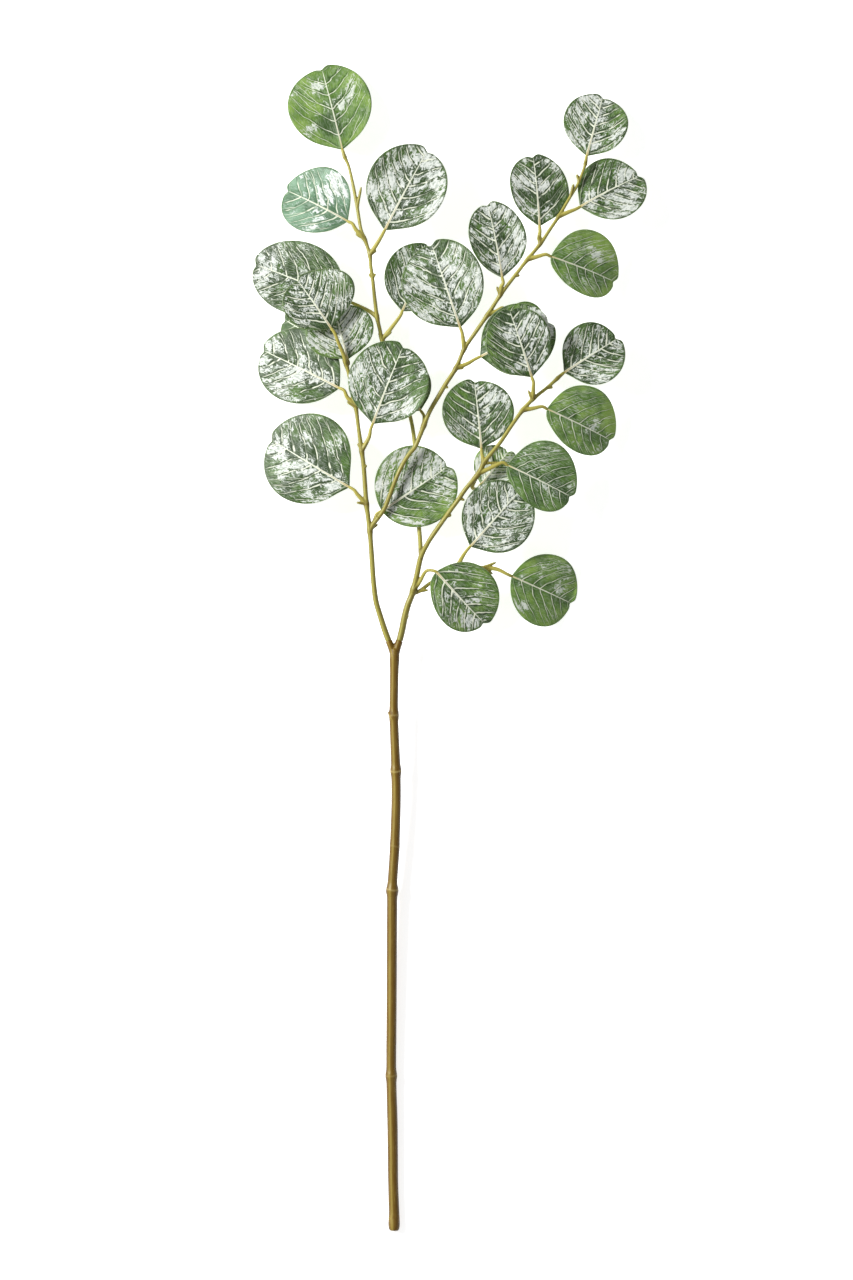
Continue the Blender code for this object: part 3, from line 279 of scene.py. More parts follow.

# How each leaf is coloured: bloom, light, yellow, curls and combs all over, then patches of more of
# one of these (b, l, y, c or m) as (kind, place along the midrib, place across, size, amount). Places
# along run from 0 at the base to 1 at the tip, and across from -1 at the left edge to 1 at the right.
# Light is partly a leaf's own paler or deeper green and partly painted light and shade, set for each
# leaf against how brightly the lamps light it.
LOOKS = {
    "leaf_left_1": (-0.15, -0.15, 0.1, 0.7, 0.1, (
        ("b", 0.65, 0.7, 0.35, -0.7), ("b", 0.14, 0.6, 0.34, -2.2), ("b", 0.2, -0.25, 0.45, 0.5),
        ("b", 0.85, -0.1, 0.35, 0.4), ("b", 0.75, -0.8, 0.3, -0.8), ("b", 0.5, 0.95, 0.3, -0.7))),
    "leaf_left_2": (-0.15, -0.25, 0.1, 0.65, 0.1, (
        ("b", 0.2, 0.6, 0.38, -2.8), ("l", 0.2, 0.6, 0.4, -0.6), ("b", 0.74, 0.85, 0.3, -2.4),
        ("l", 0.74, 0.85, 0.3, -0.4), ("b", 0.5, -0.1, 0.4, 0.5))),
    "leaf_left_3": (-0.35, -0.2, 0.0, 1.2, 0.1, (("b", 0.8, -0.3, 0.4, 0.2), ("b", 0.3, 0.1, 0.3, 0.3))),
    # Its bloom and light are raised partly as painted light, against the shade of the leaves over it
    "leaf_left_4": (0.7, 0.35, 0.0, 0.4, 0.1, (
        ("b", 0.2, 0.0, 0.4, 0.4), ("b", 0.6, 0.7, 0.4, -0.3))),
    "leaf_left_5": (-3.0, -0.3, 0.3, 0.0, 0.0, ()),
    "leaf_inner_1": (-0.3, -0.15, 0.1, 0.7, 0.1, (
        ("b", 0.92, -0.3, 0.35, -0.9), ("b", 0.6, 0.6, 0.35, -0.7), ("b", 0.35, -0.6, 0.45, 0.4),
        ("c", 0.6, -0.5, 0.6, 0.5),
        ("b", 0.2, 0.6, 0.35, 0.8), ("b", 0.1, -0.6, 0.25, -0.4))),
    "leaf_inner_2": (-0.3, 0.05, 0.0, 0.2, 0.0, ()),
    "leaf_cross": (-0.05, 0.4, 0.25, 0.5, 0.15, (
        ("b", 0.55, -0.45, 0.5, 0.4), ("b", 0.4, 0.6, 0.5, -0.5), ("b", 0.85, 0.1, 0.3, 0.35))),
    "leaf_centre_left_1": (-1.7, 0.35, 0.35, 0.05, 0.1, (
        ("b", 0.60, 0.35, 0.35, 0.9), ("b", 0.28, -0.7, 0.24, 1.5), ("b", 0.78, -0.2, 0.22, 1.7),
        ("l", 0.3, -0.15, 0.3, -0.9), ("b", 0.5, 0.95, 0.2, 1.5), ("b", 0.8, -0.95, 0.2, 1.4))),
    "leaf_centre_left_2": (-1.25, -0.2, 0.0, 0.05, 0.1, (
        ("b", 0.40, 0.75, 0.38, 2.2), ("b", 0.2, 0.1, 0.4, 0.5), ("b", 0.6, 0.2, 0.4, 0.6),
        ("l", 0.15, 0.0, 0.3, -0.6))),
    "leaf_centre_left_3": (0.1, -0.25, 0.1, 0.5, 0.15, (
        ("b", 0.62, -0.9, 0.3, -0.8), ("b", 0.12, 0.45, 0.28, -0.8), ("b", 0.12, -0.5, 0.2, -0.5),
        ("b", 0.35, -0.6, 0.4, 0.3), ("b", 0.9, 0.2, 0.3, 0.3), ("b", 0.35, 0.9, 0.3, 0.3))),
    "leaf_centre_left_4": (-0.2, -0.3, 0.0, 1.0, 0.1, (("b", 0.5, -0.6, 0.5, 0.1),)),
    "leaf_centre_left_5": (-0.5, -0.3, 0.0, 1.2, 0.15, (
        ("b", 0.4, 0.6, 0.5, -1.0), ("b", 0.8, 0.0, 0.5, 0.3))),
    "leaf_centre_right_1": (0.1, -0.1, 0.1, 0.6, 0.1, (
        ("b", 0.75, 0.7, 0.35, -1.1), ("b", 0.4, -0.7, 0.4, 0.3))),
    "leaf_centre_right_2": (0.0, -0.05, 0.1, 0.4, 0.1, (
        ("b", 0.35, -0.55, 0.5, -1.1), ("b", 0.55, 0.6, 0.5, 0.6))),
    "leaf_centre_right_3": (-0.2, -0.25, 0.05, 0.2, 0.1, (
        ("b", 0.4, -0.7, 0.55, 0.5), ("b", 0.5, 0.8, 0.6, -1.2), ("b", 0.5, 0.35, 0.25, 0.4),
        ("l", 0.5, 0.1, 0.2, -0.4), ("y", 0.6, 1.0, 0.4, 0.5))),
    "leaf_centre_right_4": (-0.15, -0.25, 0.0, 0.8, 0.1, (("b", 0.2, 0.6, 0.4, 0.2),)),
    "leaf_centre_right_5": (-1.55, 0.45, 0.3, 0.05, 0.1, (
        ("b", 0.58, -0.55, 0.2, 1.7), ("y", 0.7, -0.9, 0.45, 0.8), ("l", 0.7, -0.9, 0.4, 0.5),
        ("m", 0.3, -0.4, 0.35, 0.4), ("m", 0.6, 0.3, 0.3, 0.3), ("y", 0.9, 0.5, 0.3, 0.5))),
    "leaf_centre_right_6": (-0.05, -0.15, 0.0, 0.7, 0.1, (("b", 0.3, 0.5, 0.4, 0.1),)),
    # Its light patch at the tip is painted light, on the part that lies in the shade of the leaf in front
    "leaf_centre_right_7": (-1.6, -0.2, 0.7, 0.1, 0.1, (
        ("b", 0.95, -0.2, 0.45, 3.6), ("l", 0.95, 0.0, 0.45, 0.8))),
    "leaf_centre_right_8": (-1.0, 0.1, 0.5, 0.1, 0.0, ()),
    "leaf_right_1": (-0.1, -0.15, 0.05, 0.9, 0.1, (("b", 0.3, 0.4, 0.5, 0.15),)),
    "leaf_right_2": (-1.55, 0.35, 0.25, 0.05, 0.1, (
        ("b", 0.68, -0.2, 0.2, 1.7), ("y", 0.85, -0.5, 0.4, 0.7), ("l", 0.85, -0.5, 0.4, 0.45),
        ("m", 0.35, -0.4, 0.4, 0.3))),
    "leaf_right_3": (-1.6, -0.05, 0.05, 0.05, 0.1, (
        ("m", 0.35, -0.4, 0.45, 0.5), ("b", 0.7, 0.1, 0.25, 1.2), ("m", 0.7, 0.0, 0.25, 0.3),
        ("y", 0.9, -0.6, 0.3, 0.4))),
    # Its bloom and light are raised partly as painted light, against the shade that it lies in
    "leaf_right_4": (1.3, 1.0, 0.0, 0.2, 0.1, ()),
    "leaf_right_5": (-0.15, -0.3, 0.1, 0.3, 0.1, (
        ("b", 0.55, -0.95, 0.5, -2.6), ("y", 0.55, -1.0, 0.4, 1.0), ("l", 0.55, -1.0, 0.4, 0.1),
        ("b", 1.0, 0.0, 0.28, -1.6), ("y", 1.0, 0.0, 0.3, 1.0), ("b", 0.3, 0.5, 0.5, 0.2))),
    "leaf_right_6": (-0.15, -0.15, 0.15, 0.2, 0.1, (
        ("b", 0.75, -0.55, 0.45, -2.6), ("l", 0.75, -0.6, 0.35, 0.3), ("b", 0.25, 0.3, 0.35, 0.3),
        ("b", 0.7, 0.6, 0.35, 0.3),
        ("y", 0.35, -0.9, 0.3, 0.5), ("m", 0.35, -0.5, 0.3, 0.4))),
    "leaf_twig_1": (-0.1, -0.3, 0.0, 0.8, 0.1, (("b", 0.9, 0.2, 0.3, -0.3),)),
    "leaf_twig_2": (-1.1, 0.3, 0.2, 0.1, 0.1, (
        ("b", 0.7, 0.3, 0.35, 1.6), ("b", 0.55, 0.6, 0.25, 0.6), ("b", 0.85, -0.1, 0.2, 0.5))),
    "leaf_twig_3": (-1.6, 0.35, 0.25, 0.05, 0.1, (
        ("b", 0.3, 0.62, 0.2, 2.2), ("b", 0.72, -0.25, 0.2, 1.9), ("b", 0.35, -0.55, 0.2, 0.6))),
}


def smooth(low, high, value):
    t = np.clip((value - low) / (high - low), 0, 1)
    return t * t * (3 - 2 * t)


def wobble(x, y, index, size, terms=5):
    """Smooth noise of about -1 to 1 over a blade, with bumps of about the given size in mm."""
    rng = np.random.default_rng(1000 + index)
    total = np.zeros(np.broadcast(x, y).shape)
    for _ in range(terms):
        turn, phase = rng.uniform(0, 2 * math.pi, 2)
        pitch = size * rng.uniform(0.8, 2.2)
        total += np.sin((x * math.cos(turn) + y * math.sin(turn)) * 2 * math.pi / pitch + phase)
    return total / math.sqrt(terms / 2) / 1.6


# Leaves

def blade_radius(angle, leaf, length):
    """Distance from the blade's middle to its edge. The tip is at 0, the right side at +90."""
    reach = np.where(np.cos(angle) > 0, TIP_REACH, leaf.heel)
    a, b = reach * length, leaf.width / 2
    radius = a * b / np.hypot(b * np.cos(angle), a * np.sin(angle))
    from_base = (angle - math.pi + math.pi) % (2 * math.pi) - math.pi
    radius += (BLADE_CENTRE - leaf.heel) * length * np.exp(-np.abs(from_base / WEDGE_SPREAD) ** 1.3)
    radius -= NOTCH_DEPTH * np.exp(-(angle / NOTCH_SPREAD) ** 2)
    step = np.tanh(angle / LOBE_TURN) * np.exp(-(angle / LOBE_SPREAD) ** 2)
    return radius + leaf.lobe * LOBE_STEP * step


def half_width(progress, leaf):
    within = np.clip(progress, 0, 1)
    reach = np.where(within > BLADE_CENTRE, TIP_REACH, BLADE_CENTRE)
    return leaf.width / 2 * np.sqrt(np.maximum(0, 1 - ((within - BLADE_CENTRE) / reach) ** 2))


def shifted(x, progress, leaf):
    """Move points of the blade sideways, so that one side of the midrib is wider than the other."""
    within = np.clip(progress, 0, 1)
    half = half_width(progress, leaf)
    wanted = abs(leaf.bias) * np.tanh(BIAS_RISE * within) * (1 - within ** 3)
    shift = np.copysign(np.minimum(wanted, MOST_BIAS * half), leaf.bias)
    return x + shift * np.minimum(1, np.abs(x) / np.maximum(half, MIDRIB_WIDTH))


def leaf_frame(leaf):
    """Rows: the leaf's right, its axis towards the tip, and its upper face's normal."""
    axis = np.subtract(leaf.tip, leaf.base).astype(float)
    axis /= np.linalg.norm(axis)
    right = np.cross(axis, (0, 0, 1))
    right /= np.linalg.norm(right)
    up = np.cross(right, axis)
    roll = math.radians(leaf.roll)
    return np.array((right * math.cos(roll) + up * math.sin(roll), axis,
                     up * math.cos(roll) - right * math.sin(roll)))


def rest_on_surface(z, skin):
    """Bend a blade up where it would pass through the surface below."""
    height = z - skin
    soft = FLOOR_SOFTNESS
    return np.where(height < soft, skin + np.maximum(0, height + soft) ** 2 / (4 * soft), z)


def blade(name, leaf, index):
    """One leaf: both faces and the edge, with its veins pressed in and their places as attributes."""
    length = float(np.linalg.norm(np.subtract(leaf.tip, leaf.base))) + NOTCH_DEPTH
    v, u = np.meshgrid(np.linspace(-1, 1, CELLS + 1), np.linspace(-1, 1, CELLS + 1))
    v = v * (1 + 0.6 * v * v) / 1.6
    along, across = u * np.sqrt(1 - v * v / 2), v * np.sqrt(1 - u * u / 2)
    share, angle = np.hypot(along, across), np.arctan2(across, along)
    edge = blade_radius(angle, leaf, length)
    radius = share * edge
    y = BLADE_CENTRE * length + radius * np.cos(angle)
    progress = y / length
    x = shifted(radius * np.sin(angle), progress, leaf)
    side = x / (leaf.width / 2)
    z = leaf.cup * side * side + 4 * leaf.arch * progress * (1 - progress)
    z += WAVE_HEIGHT * share ** 3 * np.sin(3 * angle + index * 1.7) * np.sin(math.pi * progress)
    along_rib = np.sin(math.pi * np.clip(progress + 0.15, 0, 1))
    z += FOLD_HEIGHT * np.exp(-(x / FOLD_WIDTH) ** 2) * along_rib
    rim = (1 - share) * edge

    # Side veins: each leaves the midrib, runs outwards and bends towards the tip.
    out = np.abs(x)
    pitch = length / VEINS_IN_LENGTH
    wide = leaf.width / 2
    root = y - VEIN_SLOPE * out - VEIN_ARCH * out * out / wide
    stray = 0.10 * wobble(x, y, index, 16) + 0.03 * wobble(x, y, index + 500, 5)
    phase = root / pitch + stray
    run = out * 1.25
    gap_mm = pitch * 0.78
    phases = {1: phase + 0.13 * (index % 5), -1: phase + 0.42 + 0.09 * (index % 4)}
    right_half = phases[1] % 1 - 0.5
    left_half = phases[-1] % 1 - 0.5
    from_vein = np.abs(np.where(x >= 0, right_half, left_half)) * gap_mm
    inner = smooth(0.3, 2.5, out) * smooth(0.6, 4, rim)
    z -= VEIN_GROOVE * np.exp(-(from_vein / 0.9) ** 2) * inner
    z += 0.10 * wobble(x, y, index + 900, 4) * smooth(0.5, 3, rim)
    rib_width = 0.35 + 0.5 * (1 - np.clip(progress, 0, 1))
    rib = RIB_HEIGHT * np.exp(-(x / rib_width) ** 2) * np.clip(1.1 - progress, 0, 1)

    skin = RIM_SKIN + (SKIN - RIM_SKIN) * smooth(0, 2.5, rim)
    turn = leaf_frame(leaf)
    faces_points = []
    for sign in (1, -1):
        height = z + sign * skin + (0.5 * rib if sign > 0 else -rib)
        local = np.stack((x, y, height), -1)
        place = local @ turn + np.array(leaf.base)
        place[..., 2] = rest_on_surface(place[..., 2], 0.35 + sign * 0.3)
        faces_points.append(place.reshape(-1, 3))
    points = np.concatenate(faces_points)
    points[:, 1] -= ORIGIN_UP_STEM

    n = CELLS + 1
    cells = np.arange(n * n).reshape(n, n)
    a, b, c, d = (cells[:-1, :-1], cells[:-1, 1:], cells[1:, 1:], cells[1:, :-1])
    upper = np.stack((a, b, c, d), -1).reshape(-1, 4)
    lower = (upper + n * n)[:, ::-1]
    loop = np.concatenate((cells[0, :-1], cells[:-1, -1], cells[-1, :0:-1], cells[:0:-1, 0]))
    onward = np.roll(loop, -1)
    edge_faces = np.stack((onward, loop, loop + n * n, onward + n * n), -1)
    quads = np.concatenate((upper, lower, edge_faces))

    mesh = bpy.data.meshes.new(name + "_blade")
    mesh.from_pydata((points * MM).tolist(), [], quads.tolist())
    corners = quads.ravel()
    flat = corners % (n * n)
    is_lower = corners >= n * n
    x_flat = x.ravel()
    mean_x = x_flat[quads % (n * n)].mean(1)
    on_right = np.repeat(mean_x >= 0, 4)
    own_phase = np.where(on_right, phases[1].ravel()[flat], phases[-1].ravel()[flat] + 40)
    vein = np.stack((own_phase, run.ravel()[flat], np.full(len(flat), gap_mm)), -1)
    store(mesh, "vein", vein, "CORNER")
    tone, marks = tone_maps(name, progress, x / wide)
    store(mesh, "spot", doubled(np.stack((x, y, np.full_like(x, index * 137.0)), -1)), "POINT")
    store(mesh, "place", doubled(np.stack((np.clip(progress, 0, 1), rim, out), -1)), "POINT")
    store(mesh, "tone", doubled(tone), "POINT")
    marks = doubled(np.concatenate((np.ones((n, n, 1)), marks), -1))
    marks[n * n:, 0] = 0
    store(mesh, "mark", marks, "POINT")

    # The two faces lie side by side on the map, and the edge along its foot.
    grid_u = (np.linspace(0, 1, n) * np.ones((n, 1))).ravel()[flat]
    grid_v = (np.linspace(0, 1, n)[:, None] * np.ones((1, n))).ravel()[flat]
    map_u = np.where(is_lower, 0.505 + 0.49 * grid_u, 0.005 + 0.49 * grid_u)
    map_v = 0.03 + 0.965 * grid_v
    first_edge = len(upper) * 2 * 4
    steps = np.arange(len(loop)) / len(loop)
    widths = 1 / len(loop)
    map_u[first_edge:] = np.stack((steps + widths, steps, steps, steps + widths), -1).ravel() * 0.99 + 0.005
    map_v[first_edge:] = np.tile((0.018, 0.018, 0.004, 0.004), len(loop))
    layer = mesh.uv_layers.new(name="OFBake")
    layer.data.foreach_set("uv", np.stack((map_u, map_v), -1).ravel().astype(np.float32))
    mesh.shade_smooth()
    return finish_piece(name, mesh, leaf.slot)


def doubled(values):
    """The same values for the upper and the lower face."""
    flat = values.reshape(-1, values.shape[-1])
    return np.concatenate((flat, flat))


def store(mesh, name, values, domain):
    layer = mesh.attributes.new(name, "FLOAT_VECTOR", domain)
    layer.data.foreach_set("vector", np.ascontiguousarray(values, dtype=np.float32).ravel())


def tone_maps(name, progress, across):
    """A blade's bloom, light and yellow at each point, and its curls and combs, from its patches."""
    bloom, light, yellow, curl, comb, patches = LOOKS[name]
    maps = [np.full(progress.shape, value, float) for value in (bloom, light, yellow, curl, comb)]
    for kind, at, beside, size, amount in patches:
        near = np.exp(-((progress - at) ** 2 * 4 + (across - beside) ** 2) / size ** 2)
        maps["blycm".index(kind)] += amount * near * (1.4 if kind == "b" else 1.0)
    return np.stack(maps[:3], -1), np.stack(maps[3:], -1)


def finish_piece(node, mesh, slot):
    piece = bpy.data.objects.new(node + "_fine", mesh)
    bpy.context.scene.collection.objects.link(piece)
    mesh.materials.append(MATERIALS[slot])
    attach(piece, "root")
    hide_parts(node)
    return piece


# Stems

def spline(points, step=SWEEP_STEP):
    """Points about step mm apart on a smooth curve through the given (x, y, z, radius) points."""
    controls = np.array(points, float)
    controls = np.vstack((controls[0] * 2 - controls[1], controls, controls[-1] * 2 - controls[-2]))
    result = []
    for before, start, end, after in zip(controls, controls[1:], controls[2:], controls[3:]):
        count = max(1, round(np.linalg.norm((end - start)[:3]) / step))
        t = (np.arange(count) / count)[:, None]
        bend = (before * 2 - start * 5 + end * 4 - after) * t
        bend = bend + (start * 3 - before - end * 3 + after) * t * t
        result.append(start + ((end - before) + bend) * (t * 0.5))
    return np.vstack((*result, controls[-2]))


def swollen(points, marks, swell, spread):
    """Thicken a path round each marked place."""
    if len(marks):
        near = np.linalg.norm(points[:, None, :3] - np.array(marks, float)[None], axis=2).min(1)
        points[:, 3] *= 1 + swell * np.exp(-(near / spread) ** 2)
    return points


def petiole(leaf):
    """A leaf's stalk, from its stem into the foot of its midrib."""
    axis = np.subtract(leaf.tip, leaf.base).astype(float)
    axis /= np.linalg.norm(axis)
    route = [np.array(p, float) for p in leaf.stalk]
    lead = np.array(leaf.base) - axis * STALK_LEAD
    if (lead - route[-1]) @ axis > 1.0:
        route.append(lead)
    route += [np.array(leaf.base), np.array(leaf.base) + axis * STALK_TAIL]
    along = np.linspace(0, 1, len(route))
    radii = np.interp(along, (0, 0.5, 1), PETIOLE_RADII)
    points = spline(np.column_stack((route, radii)))
    from_end = np.arange(len(points))[::-1] * SWEEP_STEP
    points[:, 3] *= smooth(-1.5, STALK_TAIL + 1.0, from_end)
    return points


def stub(start, end):
    """An old stalk's stub or a bud, rounded at its tip."""
    start, end = np.array(start, float), np.array(end, float)
    t = np.linspace(0, 1, 9)[:, None]
    radii = np.interp(t.ravel(), (0, 0.35, 0.8, 1), (STUB_RADII[0], 0.85, STUB_RADII[1], 0.4))
    return np.column_stack((start + (end - start) * t, radii))


def frames_along(points):
    """Two directions across a path at each point, turning as little as possible."""
    tangents = np.gradient(points[:, :3], axis=0)
    tangents /= np.linalg.norm(tangents, axis=1)[:, None]
    first = np.cross(tangents[0], (0.0, 0.0, 1.0))
    if np.linalg.norm(first) < 0.1:
        first = np.array((1.0, 0.0, 0.0))
    sides = [first / np.linalg.norm(first)]
    for tangent in tangents[1:]:
        turned = sides[-1] - tangent * (sides[-1] @ tangent)
        sides.append(turned / np.linalg.norm(turned))
    sides = np.array(sides)
    return sides, np.cross(tangents, sides)


def swept(points, first_vertex):
    """Vertices and faces of a closed tube along (x, y, z, radius) points."""
    side, over = frames_along(points)
    turn = np.arange(TUBE_SIDES) * 2 * math.pi / TUBE_SIDES
    ring = side[:, None] * np.cos(turn)[None, :, None] + over[:, None] * np.sin(turn)[None, :, None]
    verts = (points[:, None, :3] + ring * points[:, None, 3:]).reshape(-1, 3)
    count = len(points)
    cells = np.arange(count * TUBE_SIDES).reshape(count, TUBE_SIDES) + first_vertex
    nxt = np.roll(cells, -1, axis=1)
    quads = np.stack((cells[:-1], nxt[:-1], nxt[1:], cells[1:]), -1).reshape(-1, 4)
    return verts, [*quads.tolist(), cells[0][::-1].tolist(), cells[-1].tolist()]


def stem(name, parts):
    """Tubes merged into one bark surface, with places along and around them as attributes."""
    verts, faces = [], []
    for points, _ in parts:
        more, quads = swept(points, sum(len(v) for v in verts))
        verts.append(more)
        faces += quads
    rough = bpy.data.meshes.new(name + "_rough")
    rough.from_pydata((np.vstack(verts) - (0, ORIGIN_UP_STEM, 0)).tolist(), [], faces)
    source = bpy.data.objects.new(name + "_rough", rough)
    bpy.context.scene.collection.objects.link(source)
    remesh = source.modifiers.new("merge", "REMESH")
    remesh.mode = "VOXEL"
    remesh.voxel_size = STEMS[name].voxel
    relax = source.modifiers.new("relax", "SMOOTH")
    relax.factor, relax.iterations = 0.5, 3
    depsgraph = bpy.context.evaluated_depsgraph_get()
    mesh = bpy.data.meshes.new_from_object(source.evaluated_get(depsgraph))
    bpy.data.objects.remove(source, do_unlink=True)
    mesh.name = name + "_bark"
    count = len(mesh.vertices)
    places = np.empty(count * 3, np.float32)
    mesh.vertices.foreach_get("co", places)
    places = places.reshape(-1, 3).astype(float)
    label_stem(name, mesh, places, parts)
    places[:, 2] = np.maximum(places[:, 2], 0.0)
    mesh.vertices.foreach_set("co", (places * MM).astype(np.float32).ravel())
    mesh.update()
    mesh.shade_smooth()
    mesh.materials.clear()
    return finish_piece(name, mesh, STEMS[name].slot)


def label_stem(name, mesh, places, parts):
    """Give each vertex its place along and around the nearest tube, and that tube's colours, with painted
    light and shade across the stem.
    """
    samples, tags = [], []
    for number, (points, kind) in enumerate(parts):
        side, over = frames_along(points)
        reach = np.concatenate(((0,), np.cumsum(np.linalg.norm(np.diff(points[:, :3], axis=0), axis=1))))
        centre = points[:, :3] - (0, ORIGIN_UP_STEM, 0)
        samples.append(np.column_stack((centre, side, over, reach, np.full(len(points), number))))
        tags += [kind] * len(points)
    samples = np.vstack(samples)
    tree = kdtree.KDTree(len(samples))
    for i, sample in enumerate(samples):
        tree.insert(sample[:3], i)
    tree.balance()
    nearest = np.array([tree.find(place)[1] for place in places])
    near = samples[nearest]
    offset = places - near[:, :3]
    grain = np.stack((near[:, 9] + near[:, 10] * 61.0, (offset * near[:, 3:6]).sum(1),
                      (offset * near[:, 6:9]).sum(1)), -1)
    store(mesh, "grain", grain, "POINT")
    info = STEMS[name]
    share = np.clip(near[:, 9] / max(1.0, samples[:, 9].max()), 0, 1)
    towards_right = offset[:, 0] / np.maximum(np.linalg.norm(offset, axis=1), 0.1)
    is_stalk = np.array([tags[i] == "stalk" for i in nearest], float)
    brown = info.brown[0] + (info.brown[1] - info.brown[0]) * share
    # Painted light across the stem: a pale painted highlight line left of its middle, and painted shade
    # that darkens the right side and both edges, added to the brown value by the third brown number of its
    # stem
    painted_highlight = np.exp(-((towards_right + 0.36) / 0.17) ** 2)
    edge = smooth(0.7, 1.0, np.abs(towards_right))
    brown = brown + info.brown[2] * (0.35 * towards_right - 1.4 * painted_highlight + 1.3 * edge)
    ochre = is_stalk * smooth(1.5, 6.0, near[:, 9])
    marks = [leaf.stalk[0] for leaf in LEAVES.values() if leaf.stem == name]
    if marks:
        marks = np.array(marks, float) - (0, ORIGIN_UP_STEM, 0)
        gap = np.linalg.norm(places[:, None] - marks[None], axis=2).min(1)
        brown = brown + 0.35 * np.exp(-(gap / 3.2) ** 2) * (1 - ochre)
    pale = np.zeros(len(places))
    if name == "main_stem":
        for y, strength in PALE_RINGS:
            level = y - ORIGIN_UP_STEM + 0.5 * np.sin(np.arctan2(grain[:, 2], grain[:, 1]) * 2 + y)
            pale += strength * np.exp(-((places[:, 1] - level) / 0.55) ** 2)
    store(mesh, "bark", np.stack((brown, ochre, pale), -1), "POINT")


def stem_parts(name):
    info = STEMS[name]
    marks = [leaf.stalk[0] for leaf in LEAVES.values() if leaf.stem == name]
    if name == "main_stem":
        path = spline(info.path)
        for y, bulge in MAIN_RINGS:
            lean = np.exp(-((path[:, 1] - y) / RING_SPREAD) ** 2)
            path[:, 3] += bulge * lean
        path = np.vstack((np.array(COLLAR, float), path))
    else:
        path = swollen(spline(info.path), marks, NODE_SWELL, NODE_SPREAD)
    parts = [(path, "stem")]
    parts += [(spline(extra), "stem") for extra in info.extras]
    parts += [(stub(start, end), "stub") for start, end in info.stubs]
    parts += [(petiole(leaf), "stalk") for leaf in LEAVES.values() if leaf.stem == name]
    for points, _ in parts:
        points[:, 3] += BARK_DEPTH[info.slot]
    return parts


# Materials

class Graph:
    """Builds a material's nodes. A value may be a number, a colour or another node's socket."""

    def __init__(self, name):
        self.material = bpy.data.materials.new(name)
        self.material.use_nodes = True
        self.tree = self.material.node_tree
        self.tree.nodes.clear()

    def node(self, kind, inputs, output=0, **settings):
        node = self.tree.nodes.new(kind)
        for key, value in settings.items():
            setattr(node, key, value)
        for key, value in inputs.items():
            if isinstance(value, bpy.types.NodeSocket):
                self.tree.links.new(value, node.inputs[key])
            elif value is not None:
                node.inputs[key].default_value = value
        return node.outputs[output]

    def math(self, operation, a, b=0.0, c=None):
        inputs = {0: a, 1: b} if c is None else {0: a, 1: b, 2: c}
        return self.node("ShaderNodeMath", inputs, operation=operation)

    def add(self, a, b):
        return self.math("ADD", a, b)

    def times(self, a, b):
        return self.math("MULTIPLY", a, b)

    def total(self, *terms):
        result = terms[0]
        for term in terms[1:]:
            result = self.add(result, term)
        return result

    def step(self, value, low, high, start=0.0, end=1.0):
        """A smooth step from start, at low, to end, at high."""
        return self.node("ShaderNodeMapRange", {0: value, 1: low, 2: high, 3: start, 4: end},
                         interpolation_type="SMOOTHSTEP", clamp=True)

    def parts(self, name):
        vector = self.node("ShaderNodeAttribute", {}, "Vector", attribute_name=name,
                           attribute_type="GEOMETRY")
        node = self.tree.nodes.new("ShaderNodeSeparateXYZ")
        self.tree.links.new(vector, node.inputs[0])
        return node.outputs[0], node.outputs[1], node.outputs[2]

    def vector(self, x, y, z):
        return self.node("ShaderNodeCombineXYZ", {0: x, 1: y, 2: z})

    def noise(self, vector, scale=1.0, detail=1.0, roughness=0.5, output="Fac", flat=True):
        inputs = {"Vector": vector, "Scale": scale, "Detail": detail, "Roughness": roughness}
        return self.node("ShaderNodeTexNoise", inputs, output, noise_dimensions="2D" if flat else "3D")

    def signed(self, value, amount):
        """Noise of 0 to 1 turned into -amount to amount."""
        return self.math("MULTIPLY_ADD", value, 2 * amount, -amount)

    def voronoi(self, vector, scale, feature="F1"):
        return self.node("ShaderNodeTexVoronoi", {"Vector": vector, "Scale": scale}, "Distance",
                         feature=feature, voronoi_dimensions="2D")

    def mix(self, share, a, b):
        node = self.tree.nodes.new("ShaderNodeMix")
        node.data_type = "RGBA"
        for key, value in ((0, share), (6, a), (7, b)):
            if isinstance(value, bpy.types.NodeSocket):
                self.tree.links.new(value, node.inputs[key])
            else:
                node.inputs[key].default_value = value if key == 0 else (*value, 1.0)
        return node.outputs[2]

    def finish(self, colour, roughness, height, bump, gloss):
        normal = self.node("ShaderNodeBump", {"Strength": bump, "Distance": MM, "Height": height})
        inputs = {"Base Color": colour, "Roughness": roughness, "Normal": normal,
                  "Specular IOR Level": gloss}
        shader = self.node("ShaderNodeBsdfPrincipled", inputs)
        output = self.tree.nodes.new("ShaderNodeOutputMaterial")
        self.tree.links.new(shader, output.inputs["Surface"])
        return self.material
